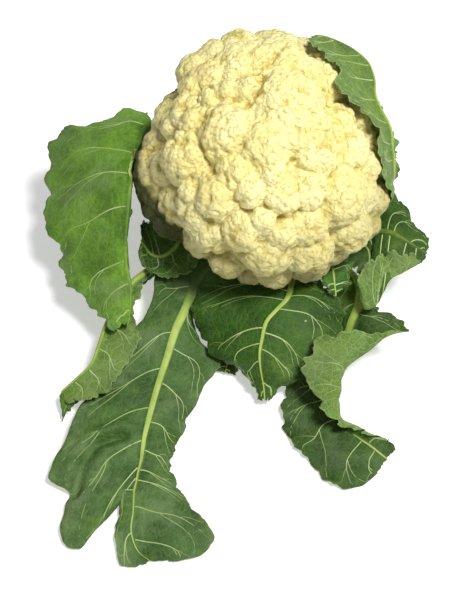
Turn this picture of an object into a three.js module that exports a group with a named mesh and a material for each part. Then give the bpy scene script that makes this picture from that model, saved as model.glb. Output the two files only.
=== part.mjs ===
// Cauliflower with its outer leaves, standing on its cut stalk.
// Millimetres, +Z up. The origin is the centre of the stalk's cut face. The head leans
// toward the front, which is -Y, and the longest leaves lie on that side.

import * as THREE from 'three';

// ---- Driving dimensions -------------------------------------------------------------

const HEAD_CENTRE = new THREE.Vector3(1, -1, 103);
const HEAD_LEAN = 15;                 // degrees the crown leans toward the front
const HEAD_AXES = [90, 99, 86];       // half width, half depth and half height of the curd
const CORE_DEPTH = 12;                // how far the deepest cleft goes below that surface
const CURD_FACETS = 20;               // facets along each edge of the icosahedron
const RIM_ANGLE = 112;                // the florets end at this angle from the crown

const STALK_TOP = 62;
const STALK_RADIUS = 27;
const BUTT_RADIUS = 24;
const UNDERSIDE_FLAT = 34;            // the curd is flat underneath out to this radius

const FLORET_SPACING = 12;
const FLORET_RADIUS = 7.6;

const GAP = 0.3;                      // air between neighbouring pieces
const BLADE = 1.1;                    // thickness of a leaf blade
const RIB_BELOW = 0.75;               // share of the midrib that stands out underneath

const CREAM = '#efe0a6';
const STALK_GREEN = '#cfd9a4';
const LEAF_GREEN = '#4d7638';
const YOUNG_GREEN = '#7f9f55';

// The large florets that can be told apart: [bearing, angle from the crown, half width,
// extra rise]. A bearing of 0 is +X and 90 is the back. The rest of the head is filled in
// by rule.
const LARGE_FLORETS = [
  [45, 14, 26, 1], [-160, 26, 21], [114, 44, 19], [95, 41, 18], [78, 38, 17, 2],
  [50, 52, 15], [30, 62, 13, -4], [-43, 61, 20, 2], [-162, 55, 20], [-100, 18, 18],
  [-91, 78, 17], [-70, 82, 16, 2], [-39, 34, 16], [-17, 50, 16], [-125, 54, 16],
  [-46, 84, 16, 5], [-33, 98, 14, 6], [-8, 88, 13], [-134, 70, 15],
  [-122, 75, 15], [-104, 65, 14], [144, 55, 13], [135, 47, 13], [-61, 47, 13],
  [-69, 64, 13], [-23, 14, 12], [-7, 26, 12], [3, 42, 12, -2], [178, 43, 12],
  [-121, 38, 12], [-111, 93, 12], [36, 46, 11], [52, 39, 10], [129, 19, 10],
  [-48, 1, 10], [171, 62, 10], [-140, 61, 10], [-105, 43, 10], [-82, 45, 12],
  [-22, 91, 13, 5], [-83, 64, 10], [147, 27, 9], [156, 34, 9], [-87, 34, 8],
  [-53, 22, 8], [-94, 56, 8], [133, 68, 13, 5], [120, 67, 13, 4], [106, 65, 13, 4],
  [-169, 91, 19, 9], [-160, 94, 18, 9], [-150, 97, 16, 6], [-176, 89, 17, 8], [176, 85, 16, 3],
  [-168, 101, 17, 7],
];

// ---- Small helpers --------------------------------------------------------------------

const radians = THREE.MathUtils.degToRad;
const clamp = THREE.MathUtils.clamp;
const lerp = THREE.MathUtils.lerp;

function randomSource(seed) {
  let state = seed;
  return () => {
    state = (state * 16807) % 2147483647;
    return state / 2147483647;
  };
}

// Evenly spread unit vectors, from the +Z pole down to the given height.
function spiralPoints(count, lowest = -1) {
  const points = [];
  for (let i = 0; i < count; i += 1) {
    const z = 1 - (1 - lowest) * (i + 0.5) / count;
    const turn = i * Math.PI * (3 - Math.sqrt(5));
    const across = Math.sqrt(1 - z * z);
    points.push(new THREE.Vector3(Math.cos(turn) * across, Math.sin(turn) * across, z));
  }
  return points;
}

function mesh(name, geometry, colour, roughness) {
  geometry.computeVertexNormals();
  const material = new THREE.MeshStandardMaterial({ color: colour, roughness, metalness: 0 });
  const body = new THREE.Mesh(geometry, material);
  body.name = name;
  return body;
}

// ---- The curd ---------------------------------------------------------------------------
// One solid: a dome of large florets, each covered in smaller ones, over a branching
// underside that runs in to a flat where it meets the stalk.

const LEAN = new THREE.Quaternion().setFromAxisAngle(new THREE.Vector3(1, 0, 0), radians(HEAD_LEAN));
const UNLEAN = LEAN.clone().invert();

function headDirection(bearing, angle) {
  const across = Math.sin(radians(angle));
  return new THREE.Vector3(
    Math.cos(radians(bearing)) * across,
    Math.sin(radians(bearing)) * across,
    Math.cos(radians(angle)),
  );
}

// Distance from the centre to the smooth egg shape, along a direction in the head's frame.
function eggRadius(d) {
  const [a, b, c] = HEAD_AXES;
  return 1 / Math.sqrt((d.x / a) ** 2 + (d.y / b) ** 2 + (d.z / c) ** 2);
}

function bump(direction, rise, radius) {
  const reach = eggRadius(direction) + rise - radius;
  return { centre: direction.clone().multiplyScalar(reach), radius };
}

function largeFlorets() {
  const random = randomSource(7);
  const placed = LARGE_FLORETS.map(([bearing, angle, half, rise = 0]) => ({
    direction: headDirection(bearing, angle),
    half,
    rise,
  }));
  for (const direction of spiralPoints(110, Math.cos(radians(RIM_ANGLE)))) {
    const half = 11 + 6 * random();
    const crowded = placed.some((other) => (
      other.direction.angleTo(direction) * 90 < (other.half + half) * 0.72
    ));
    if (!crowded) placed.push({ direction, half, rise: 0 });
  }
  return placed.map(({ direction, half, rise }) => (
    bump(direction, rise + (half - 14) * 0.35, half * 1.15)
  ));
}

// Small florets stand all over the part of each large one that shows.
function smallFlorets(large) {
  const random = randomSource(11);
  const florets = [];
  for (const big of large) {
    const count = Math.round(4 * Math.PI * big.radius ** 2 / (FLORET_SPACING ** 2 * 0.87));
    const turn = new THREE.Quaternion().setFromUnitVectors(
      new THREE.Vector3(0, 0, 1),
      big.centre.clone().normalize(),
    );
    for (const way of spiralPoints(count, -0.2)) {
      const radius = FLORET_RADIUS * (0.85 + 0.35 * random());
      const reach = big.radius + 2.2 - radius;
      const centre = way.clone().applyQuaternion(turn).multiplyScalar(reach).add(big.centre);
      const buried = large.some((other) => (
        other !== big && other.centre.distanceTo(centre) < other.radius - radius
      ));
      if (!buried) florets.push({ centre, radius });
    }
  }
  return florets;
}

const LARGE = largeFlorets();
const BUMPS = [
  ...LARGE.map(({ centre, radius }) => ({ centre, radius: radius - 1 })),
  ...smallFlorets(LARGE),
];

// Where a ray from the head's centre leaves the outermost sphere.
function floretRadius(d) {
  let radius = eggRadius(d) - CORE_DEPTH;
  for (const { centre, radius: r } of BUMPS) {
    const along = centre.dot(d);
    const inside = r * r - centre.lengthSq() + along * along;
    if (along > 0 && inside > 0) radius = Math.max(radius, along + Math.sqrt(inside));
  }
  return radius;
}

// Height of the underside: flat round the stalk, then a cone steeper at the back and
// flatter at the left, with a ridge under each main branch.
function undersideHeight(x, y) {
  const out = Math.hypot(x, y);
  if (out <= UNDERSIDE_FLAT) return STALK_TOP + GAP;
  const bearing = Math.atan2(y, x);
  const left = Math.max(0, Math.cos(bearing + radians(165)));
  const slope = 0.38 + 0.48 * Math.sin(bearing) - 0.12 * left ** 2;
  const branch = 0.12 * (1 - Math.abs(Math.cos(bearing * 5.5 + 0.4)));
  return STALK_TOP + GAP + (out - UNDERSIDE_FLAT) * (slope + branch);
}

// Distance down a ray (in the world frame) to the underside, or Infinity.
function undersideRadius(d) {
  let near = 20;
  let far = 150;
  const below = (t) => {
    const z = HEAD_CENTRE.z + d.z * t;
    return z < undersideHeight(d.x * t, d.y * t);
  };
  if (!below(far)) return Infinity;
  for (let i = 0; i < 40; i += 1) {
    const middle = (near + far) / 2;
    if (below(middle)) far = middle;
    else near = middle;
  }
  return near;
}

function curdGeometry() {
  const geometry = new THREE.IcosahedronGeometry(1, CURD_FACETS - 1);
  const position = geometry.getAttribute('position');
  const point = new THREE.Vector3();
  for (let i = 0; i < position.count; i += 1) {
    point.fromBufferAttribute(position, i).normalize();
    // The facets are drawn up over the dome, and left larger underneath.
    const angle = THREE.MathUtils.radToDeg(Math.acos(clamp(point.z, -1, 1)));
    const share = angle < 126 ? angle * RIM_ANGLE / 126 : 180 - (180 - angle) * 68 / 54;
    const bearing = THREE.MathUtils.radToDeg(Math.atan2(point.y, point.x));
    const local = headDirection(bearing, share);
    const world = local.clone().applyQuaternion(LEAN);
    const reach = Math.min(floretRadius(local), undersideRadius(world));
    point.copy(world).multiplyScalar(reach).add(HEAD_CENTRE);
    position.setXYZ(i, point.x, point.y, point.z);
  }
  return geometry;
}

// ---- The stalk --------------------------------------------------------------------------
// A stout stem, cut flat below, ringed with the scars of leaves already taken off.

function stalkGeometry() {
  const profile = [
    [0, 0], [BUTT_RADIUS, 0], [25, 4], [25.6, 12], [26, 22], [26.2, 34],
    [26.6, 46], [STALK_RADIUS, 54], [STALK_RADIUS, STALK_TOP], [0, STALK_TOP],
  ].map(([radius, height]) => new THREE.Vector2(radius, height));
  const geometry = new THREE.LatheGeometry(profile, 30);
  geometry.rotateX(Math.PI / 2);
  const position = geometry.getAttribute('position');
  for (let i = 0; i < position.count; i += 1) {
    const x = position.getX(i);
    const y = position.getY(i);
    const z = position.getZ(i);
    const round = Math.hypot(x, y);
    if (round > 0.01 && z > 1 && z < STALK_TOP - 1) {
      const scar = 1 - 0.035 * Math.cos(Math.atan2(y, x) * 5 + z * 0.16) ** 2;
      position.setX(i, x * scar);
      position.setY(i, y * scar);
    }
  }
  return geometry;
}

// ---- Leaves -----------------------------------------------------------------------------
// A leaf is given by stations from its foot to its tip. Each station holds points across
// the blade: left margin, midrib and right margin, with extra points where it folds.

function pathThrough(points) {
  return new THREE.CatmullRomCurve3(
    points.map(([x, y, z]) => new THREE.Vector3(x, y, z)),
    false,
    'catmullrom',
    0.5,
  );
}

function footStation({ bearing, height, width }, across) {
  const spread = THREE.MathUtils.radToDeg(width / 2 / (STALK_RADIUS + 1));
  return across.map((share) => {
    const turn = radians(bearing + spread * share);
    const reach = STALK_RADIUS + 0.2;
    return [Math.cos(turn) * reach, Math.sin(turn) * reach, height + 2 * Math.abs(share)];
  });
}

// How far the florets reach in and around a direction, so a blade lies over them evenly.
function floretsNear(d) {
  let reach = floretRadius(d);
  const side = new THREE.Vector3(-d.y, d.x, 0).normalize();
  const over = d.clone().cross(side);
  for (let k = 0; k < 6; k += 1) {
    const turn = k * Math.PI / 3;
    const near = d.clone().addScaledVector(side, 0.09 * Math.cos(turn));
    near.addScaledVector(over, 0.09 * Math.sin(turn)).normalize();
    reach = Math.max(reach, floretRadius(near));
  }
  return reach;
}

// Push a point of a blade out of the head, off the stalk and off the surface.
function bendClear(point, above, below) {
  const local = point.clone().sub(HEAD_CENTRE);
  const reach = local.length();
  local.divideScalar(reach).applyQuaternion(UNLEAN);
  const angle = THREE.MathUtils.radToDeg(Math.acos(local.z));
  if (angle < 104 && reach < eggRadius(local) + 22) {
    const least = floretsNear(local) + 1.1 + above;
    if (reach < least) {
      point.sub(HEAD_CENTRE).multiplyScalar(least / reach).add(HEAD_CENTRE);
    }
  }
  const out = Math.hypot(point.x, point.y);
  if (angle >= 100 && out < 100) {
    const lowest = undersideHeight(point.x, point.y) - 2 - above;
    point.z = Math.min(point.z, Math.max(lowest, STALK_TOP - 6));
  }
  point.z = Math.max(point.z, below + 0.4);
}

function keepOffStalk(point) {
  const out = Math.hypot(point.x, point.y);
  const least = STALK_RADIUS + GAP + 0.15;
  if (point.z < STALK_TOP + 4 && out < least) {
    point.x *= least / out;
    point.y *= least / out;
  }
}

// A margin that is nicked into uneven teeth, from 0 (the tip of a tooth) to 1 (a notch).
function notch(s, teeth, phase) {
  const slow = Math.sin(s * teeth * 2.1 + phase * 2);
  return 0.5 - 0.3 * Math.cos(s * teeth * Math.PI * 2 + phase + slow) - 0.2 * slow;
}

function leafGeometry(leaf) {
  const { stations, foot, along, across } = leaf;
  const width = stations[0].length;
  const middle = leaf.midrib ?? 1;
  const shares = [];
  for (let k = 0; k < width; k += 1) {
    shares.push(k < middle ? (k - middle) / middle : (k - middle) / (width - 1 - middle));
  }
  const rows = [footStation(foot, shares), ...stations];
  const columns = shares.map((share, k) => pathThrough(rows.map((row) => row[k])));
  const ruffle = leaf.ruffle ?? 3;
  const waves = leaf.waves ?? 5;
  const toothDepth = leaf.tooth ?? 3;
  const teeth = leaf.teeth ?? 9;
  const phase = leaf.phase ?? 0;
  const cup = leaf.cup ?? 0.06;

  // The middle surface, one row at a time.
  const grid = [];
  for (let i = 0; i <= along; i += 1) {
    const s = i / along;
    const marks = columns.map((column) => column.getPoint(s));
    const rib = marks[middle];
    const row = [];
    for (const side of [-1, 1]) {
      const marksOut = side < 0 ? marks.slice(0, middle).reverse() : marks.slice(middle + 1);
      const outward = [rib, ...marksOut];
      const curve = new THREE.CatmullRomCurve3(outward, false, 'catmullrom', 0.5);
      const length = rib.distanceTo(outward[1]);
      const ribHalf = lerp(foot.width * 0.3, 1.4, Math.sqrt(s));
      const first = Math.min(0.5, ribHalf / length);
      const strips = across[side < 0 ? 0 : 1];
      const points = [];
      for (let j = 1; j <= strips; j += 1) {
        const v = strips === 1 ? 1 : lerp(first, 1, (j - 1) / (strips - 1));
        const blade = clamp((s - 0.12) * 8, 0, 1) * clamp((1 - s) * 12, 0, 1);
        const bite = toothDepth / Math.max(length, 8) * notch(s, teeth, phase + side) * blade;
        points.push({ v, blade, side, point: curve.getPoint(v * (1 - bite * v * v)), length });
      }
      if (side < 0) row.push(...points.reverse(), { v: 0, blade: 0, side: 0, point: rib, length });
      else row.push(...points);
    }
    grid.push(row);
  }

  const normals = () => grid.map((row, i) => row.map((cell, j) => {
    const before = grid[Math.max(i - 1, 0)][j].point;
    const after = grid[Math.min(i + 1, along)][j].point;
    const left = row[Math.max(j - 1, 0)].point;
    const right = row[Math.min(j + 1, row.length - 1)].point;
    return after.clone().sub(before).cross(right.clone().sub(left)).normalize();
  }));

  // Cup the halves and ruffle the margins, then bend the blade clear of its neighbours.
  const flat = normals();
  grid.forEach((row, i) => row.forEach((cell, j) => {
    const s = i / along;
    const swell = cup * Math.min(cell.length, 40) * Math.sin(Math.PI * cell.v) * cell.blade;
    const wave = Math.sin(s * waves * Math.PI * 2 + phase + cell.side * 1.3);
    const lift = swell + ruffle * wave * cell.v ** 3 * cell.blade;
    cell.point = cell.point.clone().addScaledVector(flat[i][j], lift);
    const ribDepth = lerp(foot.thick ?? 6, 0.8, Math.pow(s, 0.6));
    cell.above = BLADE / 2 + (cell.v === 0 ? ribDepth * (1 - RIB_BELOW) : 0);
    cell.below = BLADE / 2 + (cell.v === 0 ? ribDepth * RIB_BELOW : 0);
    bendClear(cell.point, cell.above, cell.below);
  }));

  const final = normals();
  const positions = [];
  for (const face of ['above', 'below']) {
    const sign = face === 'above' ? 1 : -1;
    grid.forEach((row, i) => row.forEach((cell, j) => {
      const point = cell.point.clone().addScaledVector(final[i][j], sign * cell[face]);
      point.z = Math.max(point.z, 0.3);
      keepOffStalk(point);
      positions.push(point.x, point.y, point.z);
    }));
  }
  return closedSheet(grid, positions);
}

// Two like grids of points joined round their edges into one closed body.
function closedSheet(grid, positions) {
  const rows = grid.length;
  const perRow = grid[0].length;
  const top = (i, j) => i * perRow + j;
  const under = (i, j) => rows * perRow + i * perRow + j;
  const faces = [];
  for (let i = 0; i < rows - 1; i += 1) {
    for (let j = 0; j < perRow - 1; j += 1) {
      const corners = [[i, j], [i + 1, j], [i + 1, j + 1], [i, j + 1]];
      const diagonal = (a, b) => {
        const from = grid[corners[a][0]][corners[a][1]].point;
        return from.distanceTo(grid[corners[b][0]][corners[b][1]].point);
      };
      const turn = diagonal(0, 2) <= diagonal(1, 3) ? 0 : 1;
      const [a, b, c, d] = [0, 1, 2, 3].map((k) => corners[(k + turn) % 4]);
      faces.push(top(...a), top(...b), top(...c), top(...a), top(...c), top(...d));
      faces.push(under(...a), under(...c), under(...b), under(...a), under(...d), under(...c));
    }
  }
  const wall = (a, b) => {
    faces.push(top(...a), under(...a), under(...b), top(...a), under(...b), top(...b));
  };
  for (let i = 0; i < rows - 1; i += 1) {
    wall([i, 0], [i + 1, 0]);
    wall([i + 1, perRow - 1], [i, perRow - 1]);
  }
  for (let j = 0; j < perRow - 1; j += 1) {
    wall([0, j + 1], [0, j]);
    wall([rows - 1, j], [rows - 1, j + 1]);
  }
  const geometry = new THREE.BufferGeometry();
  geometry.setAttribute('position', new THREE.Float32BufferAttribute(positions, 3));
  geometry.setIndex(faces);
  return geometry;
}

// Feet are set on the stalk by bearing and height. Stations are [x, y, z] across the leaf.
const LEAVES = {
  // The longest leaf, lying forward and left with its blade flat on the surface.
  leaf_long: {
    foot: { bearing: 240, height: 16, width: 20, thick: 8 },
    along: 34, across: [4, 4], ruffle: 2, waves: 6, tooth: 3, teeth: 13, cup: 0.05,
    stations: [
      [[-52, -47, 31], [-47, -47, 28], [-41, -54, 24]],
      [[-74, -63, 34], [-56, -70, 30], [-49, -75, 25]],
      [[-87, -74, 31], [-61, -87, 30], [-56, -92, 22]],
      [[-97, -94, 24], [-68, -103, 27], [-48, -108, 17]],
      [[-117, -123, 17], [-75, -127, 21], [-33, -124, 11]],
      [[-135, -153, 13], [-82, -152, 17], [-46, -148, 9]],
      [[-146, -182, 12], [-87, -174, 14], [-57, -171, 6]],
      [[-160, -219, 11], [-90, -188, 12], [-62, -187, 7]],
      [[-145, -233, 3], [-91, -198, 11], [-66, -199, 8]],
      [[-148, -262, 3], [-92, -207, 10], [-68, -208, 8]],
      [[-134, -274, 3], [-94, -216, 9], [-68, -216, 7]],
      [[-120, -250, 5], [-95, -224, 8], [-63, -226, 7]],
      [[-112, -227, 8], [-96, -232, 8], [-57, -235, 6]],
      [[-108, -246, 6], [-96, -246, 7], [-49, -247, 6]],
      [[-110, -266, 3], [-97, -260, 5], [-38, -261, 5]],
      [[-106, -284, 2], [-92, -274, 3], [-44, -276, 3]],
      [[-92, -286, 2], [-82, -282, 2], [-66, -282, 2]],
    ],
  },
  // A broad leaf arching over the front and hanging down to a point.
  leaf_front: {
    foot: { bearing: 285, height: 34, width: 16, thick: 6 },
    along: 24, across: [4, 4], ruffle: 2.5, waves: 5, tooth: 4, teeth: 9, phase: 1,
    stations: [
      [[15, -50, 45], [22, -54, 46], [29, -52, 45]],
      [[-14, -69, 41], [19, -80, 47], [43, -70, 43]],
      [[-46, -67, 37], [16, -91, 48], [54, -78, 40]],
      [[-56, -80, 32], [8, -100, 47], [62, -94, 37]],
      [[-58, -95, 27], [0, -109, 44], [59, -109, 34]],
      [[-51, -110, 22], [-3, -119, 38], [48, -126, 30]],
      [[-38, -125, 17], [-5, -130, 32], [34, -138, 24]],
      [[-21, -133, 13], [-4, -139, 24], [23, -147, 18]],
      [[-11, -147, 11], [-2, -148, 16], [12, -149, 13]],
      [[-6, -157, 8], [-1, -158, 9], [3, -156, 9]],
    ],
  },
  // A leaf lying forward and right, its outer half turned back over the midrib.
  leaf_right_low: {
    foot: { bearing: 322, height: 16, width: 18, thick: 7 },
    along: 28, across: [3, 6], ruffle: 2, waves: 7, tooth: 3, teeth: 12, phase: 2, cup: 0,
    stations: [
      [[52, -45, 27], [62, -46, 30], [66, -50, 29], [68, -53, 28]],
      [[54, -62, 29], [72, -70, 37], [77, -73, 38], [80, -74, 38]],
      [[52, -80, 26], [70, -88, 37], [77, -90, 38], [84, -91, 40]],
      [[48, -97, 21], [64, -102, 33], [79, -103, 41], [96, -102, 47]],
      [[37, -110, 13], [60, -116, 26], [83, -119, 43], [109, -116, 46]],
      [[26, -123, 9], [56, -129, 20], [79, -132, 44], [85, -121, 52]],
      [[15, -137, 6], [53, -141, 16], [62, -142, 44], [61, -117, 52]],
      [[11, -151, 5], [52, -153, 12], [55, -148, 42], [38, -121, 48]],
      [[9, -164, 4], [53, -162, 10], [52, -157, 37], [24, -138, 42]],
      [[11, -179, 3], [54, -171, 8], [49, -167, 28], [26, -160, 35]],
      [[20, -194, 3], [60, -179, 7], [54, -178, 20], [38, -179, 27]],
      [[32, -210, 3], [67, -186, 6], [68, -181, 14], [54, -187, 18]],
      [[44, -225, 2], [75, -192, 5], [78, -186, 10], [71, -187, 12]],
      [[64, -226, 2], [82, -198, 4], [89, -189, 5], [86, -187, 8]],
      [[82, -212, 2], [88, -203, 3], [94, -196, 3], [96, -193, 4]],
    ],
  },
  // A short broad leaf at the right, its near half turned up.
  leaf_right: {
    foot: { bearing: 342, height: 34, width: 14, thick: 5 },
    midrib: 2, along: 18, across: [5, 3], ruffle: 2, waves: 5, tooth: 2.5, teeth: 9, phase: 3, cup: 0,
    stations: [
      [[62, -50, 44], [64, -36, 46], [62, -19, 48], [62, -2, 46]],
      [[68, -72, 48], [82, -50, 49], [82, -26, 52], [82, -6, 48]],
      [[68, -86, 55], [74, -94, 48], [88, -31, 56], [88, 9, 51]],
      [[68, -79, 60], [81, -99, 50], [95, -34, 59], [99, 15, 53]],
      [[75, -67, 64], [86, -90, 50], [101, -38, 60], [108, 3, 54]],
      [[85, -58, 65], [93, -76, 50], [108, -43, 59], [115, -15, 53]],
      [[99, -56, 65], [106, -68, 52], [116, -48, 57], [125, -30, 52]],
      [[115, -57, 61], [121, -60, 55], [125, -53, 54], [127, -47, 52]],
    ],
  },
  // The tall leaf at the left, a tent over its own midrib.
  leaf_left: {
    foot: { bearing: 165, height: 34, width: 20, thick: 7 },
    along: 26, across: [5, 3], ruffle: 3, waves: 6, tooth: 5, teeth: 12, phase: 4,
    stations: [
      [[-60, 30, 52], [-58, 24, 53], [-56, 18, 51]],
      [[-86, 56, 76], [-84, 44, 78], [-82, 36, 70]],
      [[-101, 64, 92], [-90, 46, 96], [-90, 40, 78]],
      [[-132, 55, 86], [-95, 26, 101], [-97, 24, 76]],
      [[-166, 60, 76], [-98, 2, 104], [-103, 4, 78]],
      [[-175, 34, 60], [-101, -19, 102], [-107, -14, 76]],
      [[-177, -1, 50], [-103, -37, 93], [-108, -32, 68]],
      [[-167, -36, 42], [-105, -54, 78], [-108, -50, 58]],
      [[-161, -61, 36], [-105, -69, 65], [-107, -66, 48]],
      [[-143, -80, 35], [-102, -84, 55], [-104, -82, 42]],
      [[-128, -103, 35], [-102, -97, 46], [-103, -95, 39]],
      [[-115, -113, 36], [-104, -111, 40], [-103, -108, 38]],
    ],
  },
  // A leaf below that one, turned over so that its underside shows.
  leaf_left_low: {
    foot: { bearing: 202, height: 24, width: 16, thick: 6 },
    along: 22, across: [4, 3], ruffle: 1.5, waves: 6, tooth: 2.5, teeth: 11, phase: 5, cup: 0,
    stations: [
      [[-60, -24, 27], [-63, -31, 28], [-62, -38, 25]],
      [[-89, -57, 31], [-92, -54, 32], [-90, -54, 22]],
      [[-96, -78, 33], [-106, -68, 30], [-103, -66, 18]],
      [[-98, -100, 34], [-117, -90, 28], [-112, -92, 13]],
      [[-93, -119, 35], [-122, -104, 28], [-117, -106, 9]],
      [[-101, -135, 32], [-126, -120, 27], [-121, -122, 7]],
      [[-110, -153, 28], [-131, -136, 26], [-128, -138, 5]],
      [[-122, -161, 23], [-142, -146, 22], [-138, -152, 5]],
      [[-138, -163, 17], [-151, -152, 17], [-147, -163, 4]],
      [[-149, -161, 12], [-155, -154, 12], [-153, -173, 4]],
    ],
  },
  // The leaf that wraps the right shoulder of the head up to the crown.
  leaf_crown: {
    foot: { bearing: 12, height: 42, width: 16, thick: 5 },
    along: 28, across: [4, 3], ruffle: 1.5, waves: 7, tooth: 3, teeth: 14, phase: 6, cup: 0,
    stations: [
      [[60, 4, 52], [60, 12, 52], [58, 20, 52]],
      [[86, -14, 64], [91, 0, 65], [95, 10, 64]],
      [[88, -34, 96], [97, -2, 84], [104, 6, 80]],
      [[83, -36, 124], [95, -6, 108], [101, 2, 102]],
      [[80, -28, 142], [92, -3, 124], [99, 6, 116]],
      [[77, -16, 153], [90, 1, 137], [93, 13, 124]],
      [[69, -10, 164], [82, 8, 150], [87, 24, 130]],
      [[55, -8, 176], [79, 20, 152], [82, 36, 130]],
      [[48, 0, 182], [79, 34, 154], [78, 48, 130]],
      [[48, 20, 181], [75, 44, 160], [69, 60, 138]],
      [[43, 24, 183], [66, 50, 166], [62, 66, 142]],
      [[37, 28, 186], [55, 56, 169], [51, 70, 150]],
      [[32, 38, 185], [44, 58, 173], [41, 67, 161]],
      [[29, 48, 182], [34, 55, 178], [35, 60, 172]],
    ],
  },
  // Small leaves close against the head.
  leaf_left_small: {
    foot: { bearing: 200, height: 44, width: 12, thick: 4 },
    along: 14, across: [3, 3], ruffle: 2, waves: 4, tooth: 2.5, teeth: 7, phase: 8,
    stations: [
      [[-46, -40, 46], [-56, -20, 50], [-55, -12, 49]],
      [[-53, -60, 44], [-70, -43, 49], [-72, -25, 50]],
      [[-67, -68, 43], [-80, -50, 47], [-80, -30, 50]],
      [[-85, -66, 41], [-88, -48, 47], [-85, -28, 50]],
      [[-97, -53, 41], [-93, -40, 47], [-90, -26, 51]],
      [[-99, -41, 45], [-97, -34, 48], [-94, -27, 52]],
    ],
  },
  leaf_right_curl: {
    foot: { bearing: 305, height: 50, width: 10, thick: 3.5 },
    along: 12, across: [3, 3], ruffle: 3, waves: 4, tooth: 2, teeth: 7, phase: 9, young: true,
    stations: [
      [[34, -44, 53], [37, -42, 54], [40, -38, 53]],
      [[43, -58, 54], [49, -55, 56], [57, -50, 54]],
      [[40, -69, 53], [51, -68, 55], [62, -61, 54]],
      [[42, -79, 50], [52, -80, 52], [62, -72, 49]],
      [[48, -86, 46], [53, -88, 46], [59, -81, 46]],
    ],
  },
  leaf_front_low: {
    foot: { bearing: 262, height: 6, width: 14, thick: 4 },
    along: 12, across: [3, 3], ruffle: 1.5, waves: 4, tooth: 2.5, teeth: 8, phase: 10,
    stations: [
      [[-24, -60, 9], [-14, -62, 10], [-6, -62, 9]],
      [[-36, -90, 7], [-20, -95, 9], [-6, -94, 7]],
      [[-42, -112, 5], [-28, -117, 7], [-14, -118, 5]],
      [[-38, -127, 3], [-31, -130, 4], [-23, -131, 3]],
    ],
  },
  // Leaves behind the head.
  leaf_back: {
    foot: { bearing: 92, height: 12, width: 20, thick: 7 },
    along: 18, across: [3, 3], ruffle: 3, waves: 5, tooth: 3, teeth: 10, phase: 11,
    stations: [
      [[12, 60, 20], [-2, 60, 22], [-16, 60, 20]],
      [[44, 92, 22], [0, 96, 30], [-44, 92, 22]],
      [[64, 132, 14], [2, 136, 26], [-60, 130, 14]],
      [[66, 172, 6], [4, 178, 16], [-58, 172, 6]],
      [[44, 206, 3], [6, 212, 8], [-34, 208, 3]],
      [[18, 226, 2], [8, 230, 3], [-6, 228, 2]],
    ],
  },
  leaf_back_left: {
    foot: { bearing: 128, height: 40, width: 16, thick: 6 },
    along: 16, across: [3, 3], ruffle: 2.5, waves: 5, tooth: 3, teeth: 9, phase: 12,
    stations: [
      [[-28, 50, 48], [-36, 48, 49], [-42, 42, 48]],
      [[-32, 88, 62], [-56, 80, 64], [-72, 62, 60]],
      [[-36, 104, 76], [-66, 88, 78], [-84, 66, 72]],
      [[-52, 98, 88], [-74, 80, 90], [-86, 64, 84]],
      [[-70, 82, 96], [-77, 74, 96], [-83, 66, 93]],
    ],
  },
  leaf_back_right: {
    foot: { bearing: 48, height: 26, width: 18, thick: 6 },
    along: 18, across: [3, 3], ruffle: 3, waves: 5, tooth: 3, teeth: 10, phase: 13,
    stations: [
      [[42, 36, 36], [38, 42, 37], [32, 48, 36]],
      [[84, 60, 44], [66, 78, 50], [44, 92, 44]],
      [[98, 86, 48], [76, 106, 56], [50, 122, 48]],
      [[100, 112, 42], [80, 130, 50], [60, 144, 42]],
      [[92, 136, 32], [82, 146, 36], [74, 154, 32]],
      [[86, 150, 26], [82, 154, 27], [79, 156, 26]],
    ],
  },
};

const cauliflower = new THREE.Group();
cauliflower.name = 'cauliflower';
cauliflower.add(mesh('curd', curdGeometry(), CREAM, 0.7));
cauliflower.add(mesh('stalk', stalkGeometry(), STALK_GREEN, 0.6));
for (const [name, leaf] of Object.entries(LEAVES)) {
  cauliflower.add(mesh(name, leafGeometry(leaf), leaf.young ? YOUNG_GREEN : LEAF_GREEN, 0.55));
}

export default cauliflower;
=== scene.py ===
"""A cauliflower with its outer leaves, standing on its cut stalk.

Meshes are written in millimetres, and MM turns them into Blender's metres. Node trees,
lights and the camera are in metres.
"""
import math

import bmesh
import bpy
import numpy as np
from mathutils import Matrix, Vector


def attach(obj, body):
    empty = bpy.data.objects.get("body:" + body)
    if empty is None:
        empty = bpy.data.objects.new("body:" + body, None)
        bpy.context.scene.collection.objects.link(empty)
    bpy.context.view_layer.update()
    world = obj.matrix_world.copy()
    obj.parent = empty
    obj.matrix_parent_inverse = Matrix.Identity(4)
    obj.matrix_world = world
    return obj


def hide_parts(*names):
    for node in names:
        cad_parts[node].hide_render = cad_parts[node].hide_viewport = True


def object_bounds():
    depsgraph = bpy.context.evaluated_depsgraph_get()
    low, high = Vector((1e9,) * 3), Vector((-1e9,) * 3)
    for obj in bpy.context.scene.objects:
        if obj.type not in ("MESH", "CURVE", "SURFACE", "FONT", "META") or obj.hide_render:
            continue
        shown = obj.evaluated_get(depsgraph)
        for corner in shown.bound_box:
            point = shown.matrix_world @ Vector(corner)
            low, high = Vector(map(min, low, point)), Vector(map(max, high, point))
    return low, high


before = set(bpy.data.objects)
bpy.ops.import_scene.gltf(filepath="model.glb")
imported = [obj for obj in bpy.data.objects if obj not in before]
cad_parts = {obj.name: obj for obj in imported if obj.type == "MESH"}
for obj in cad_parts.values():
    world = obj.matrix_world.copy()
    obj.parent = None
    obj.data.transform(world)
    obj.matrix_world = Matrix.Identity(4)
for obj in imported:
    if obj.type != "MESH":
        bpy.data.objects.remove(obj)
cad_low, cad_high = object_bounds()


# ---- Curd --------------------------------------------------------------------------------
# One mass of undeveloped flower buds on short fleshy branches. It grew in one piece, as a
# leaning dome of large florets, with smaller ones on them and granular buds all over.

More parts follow.
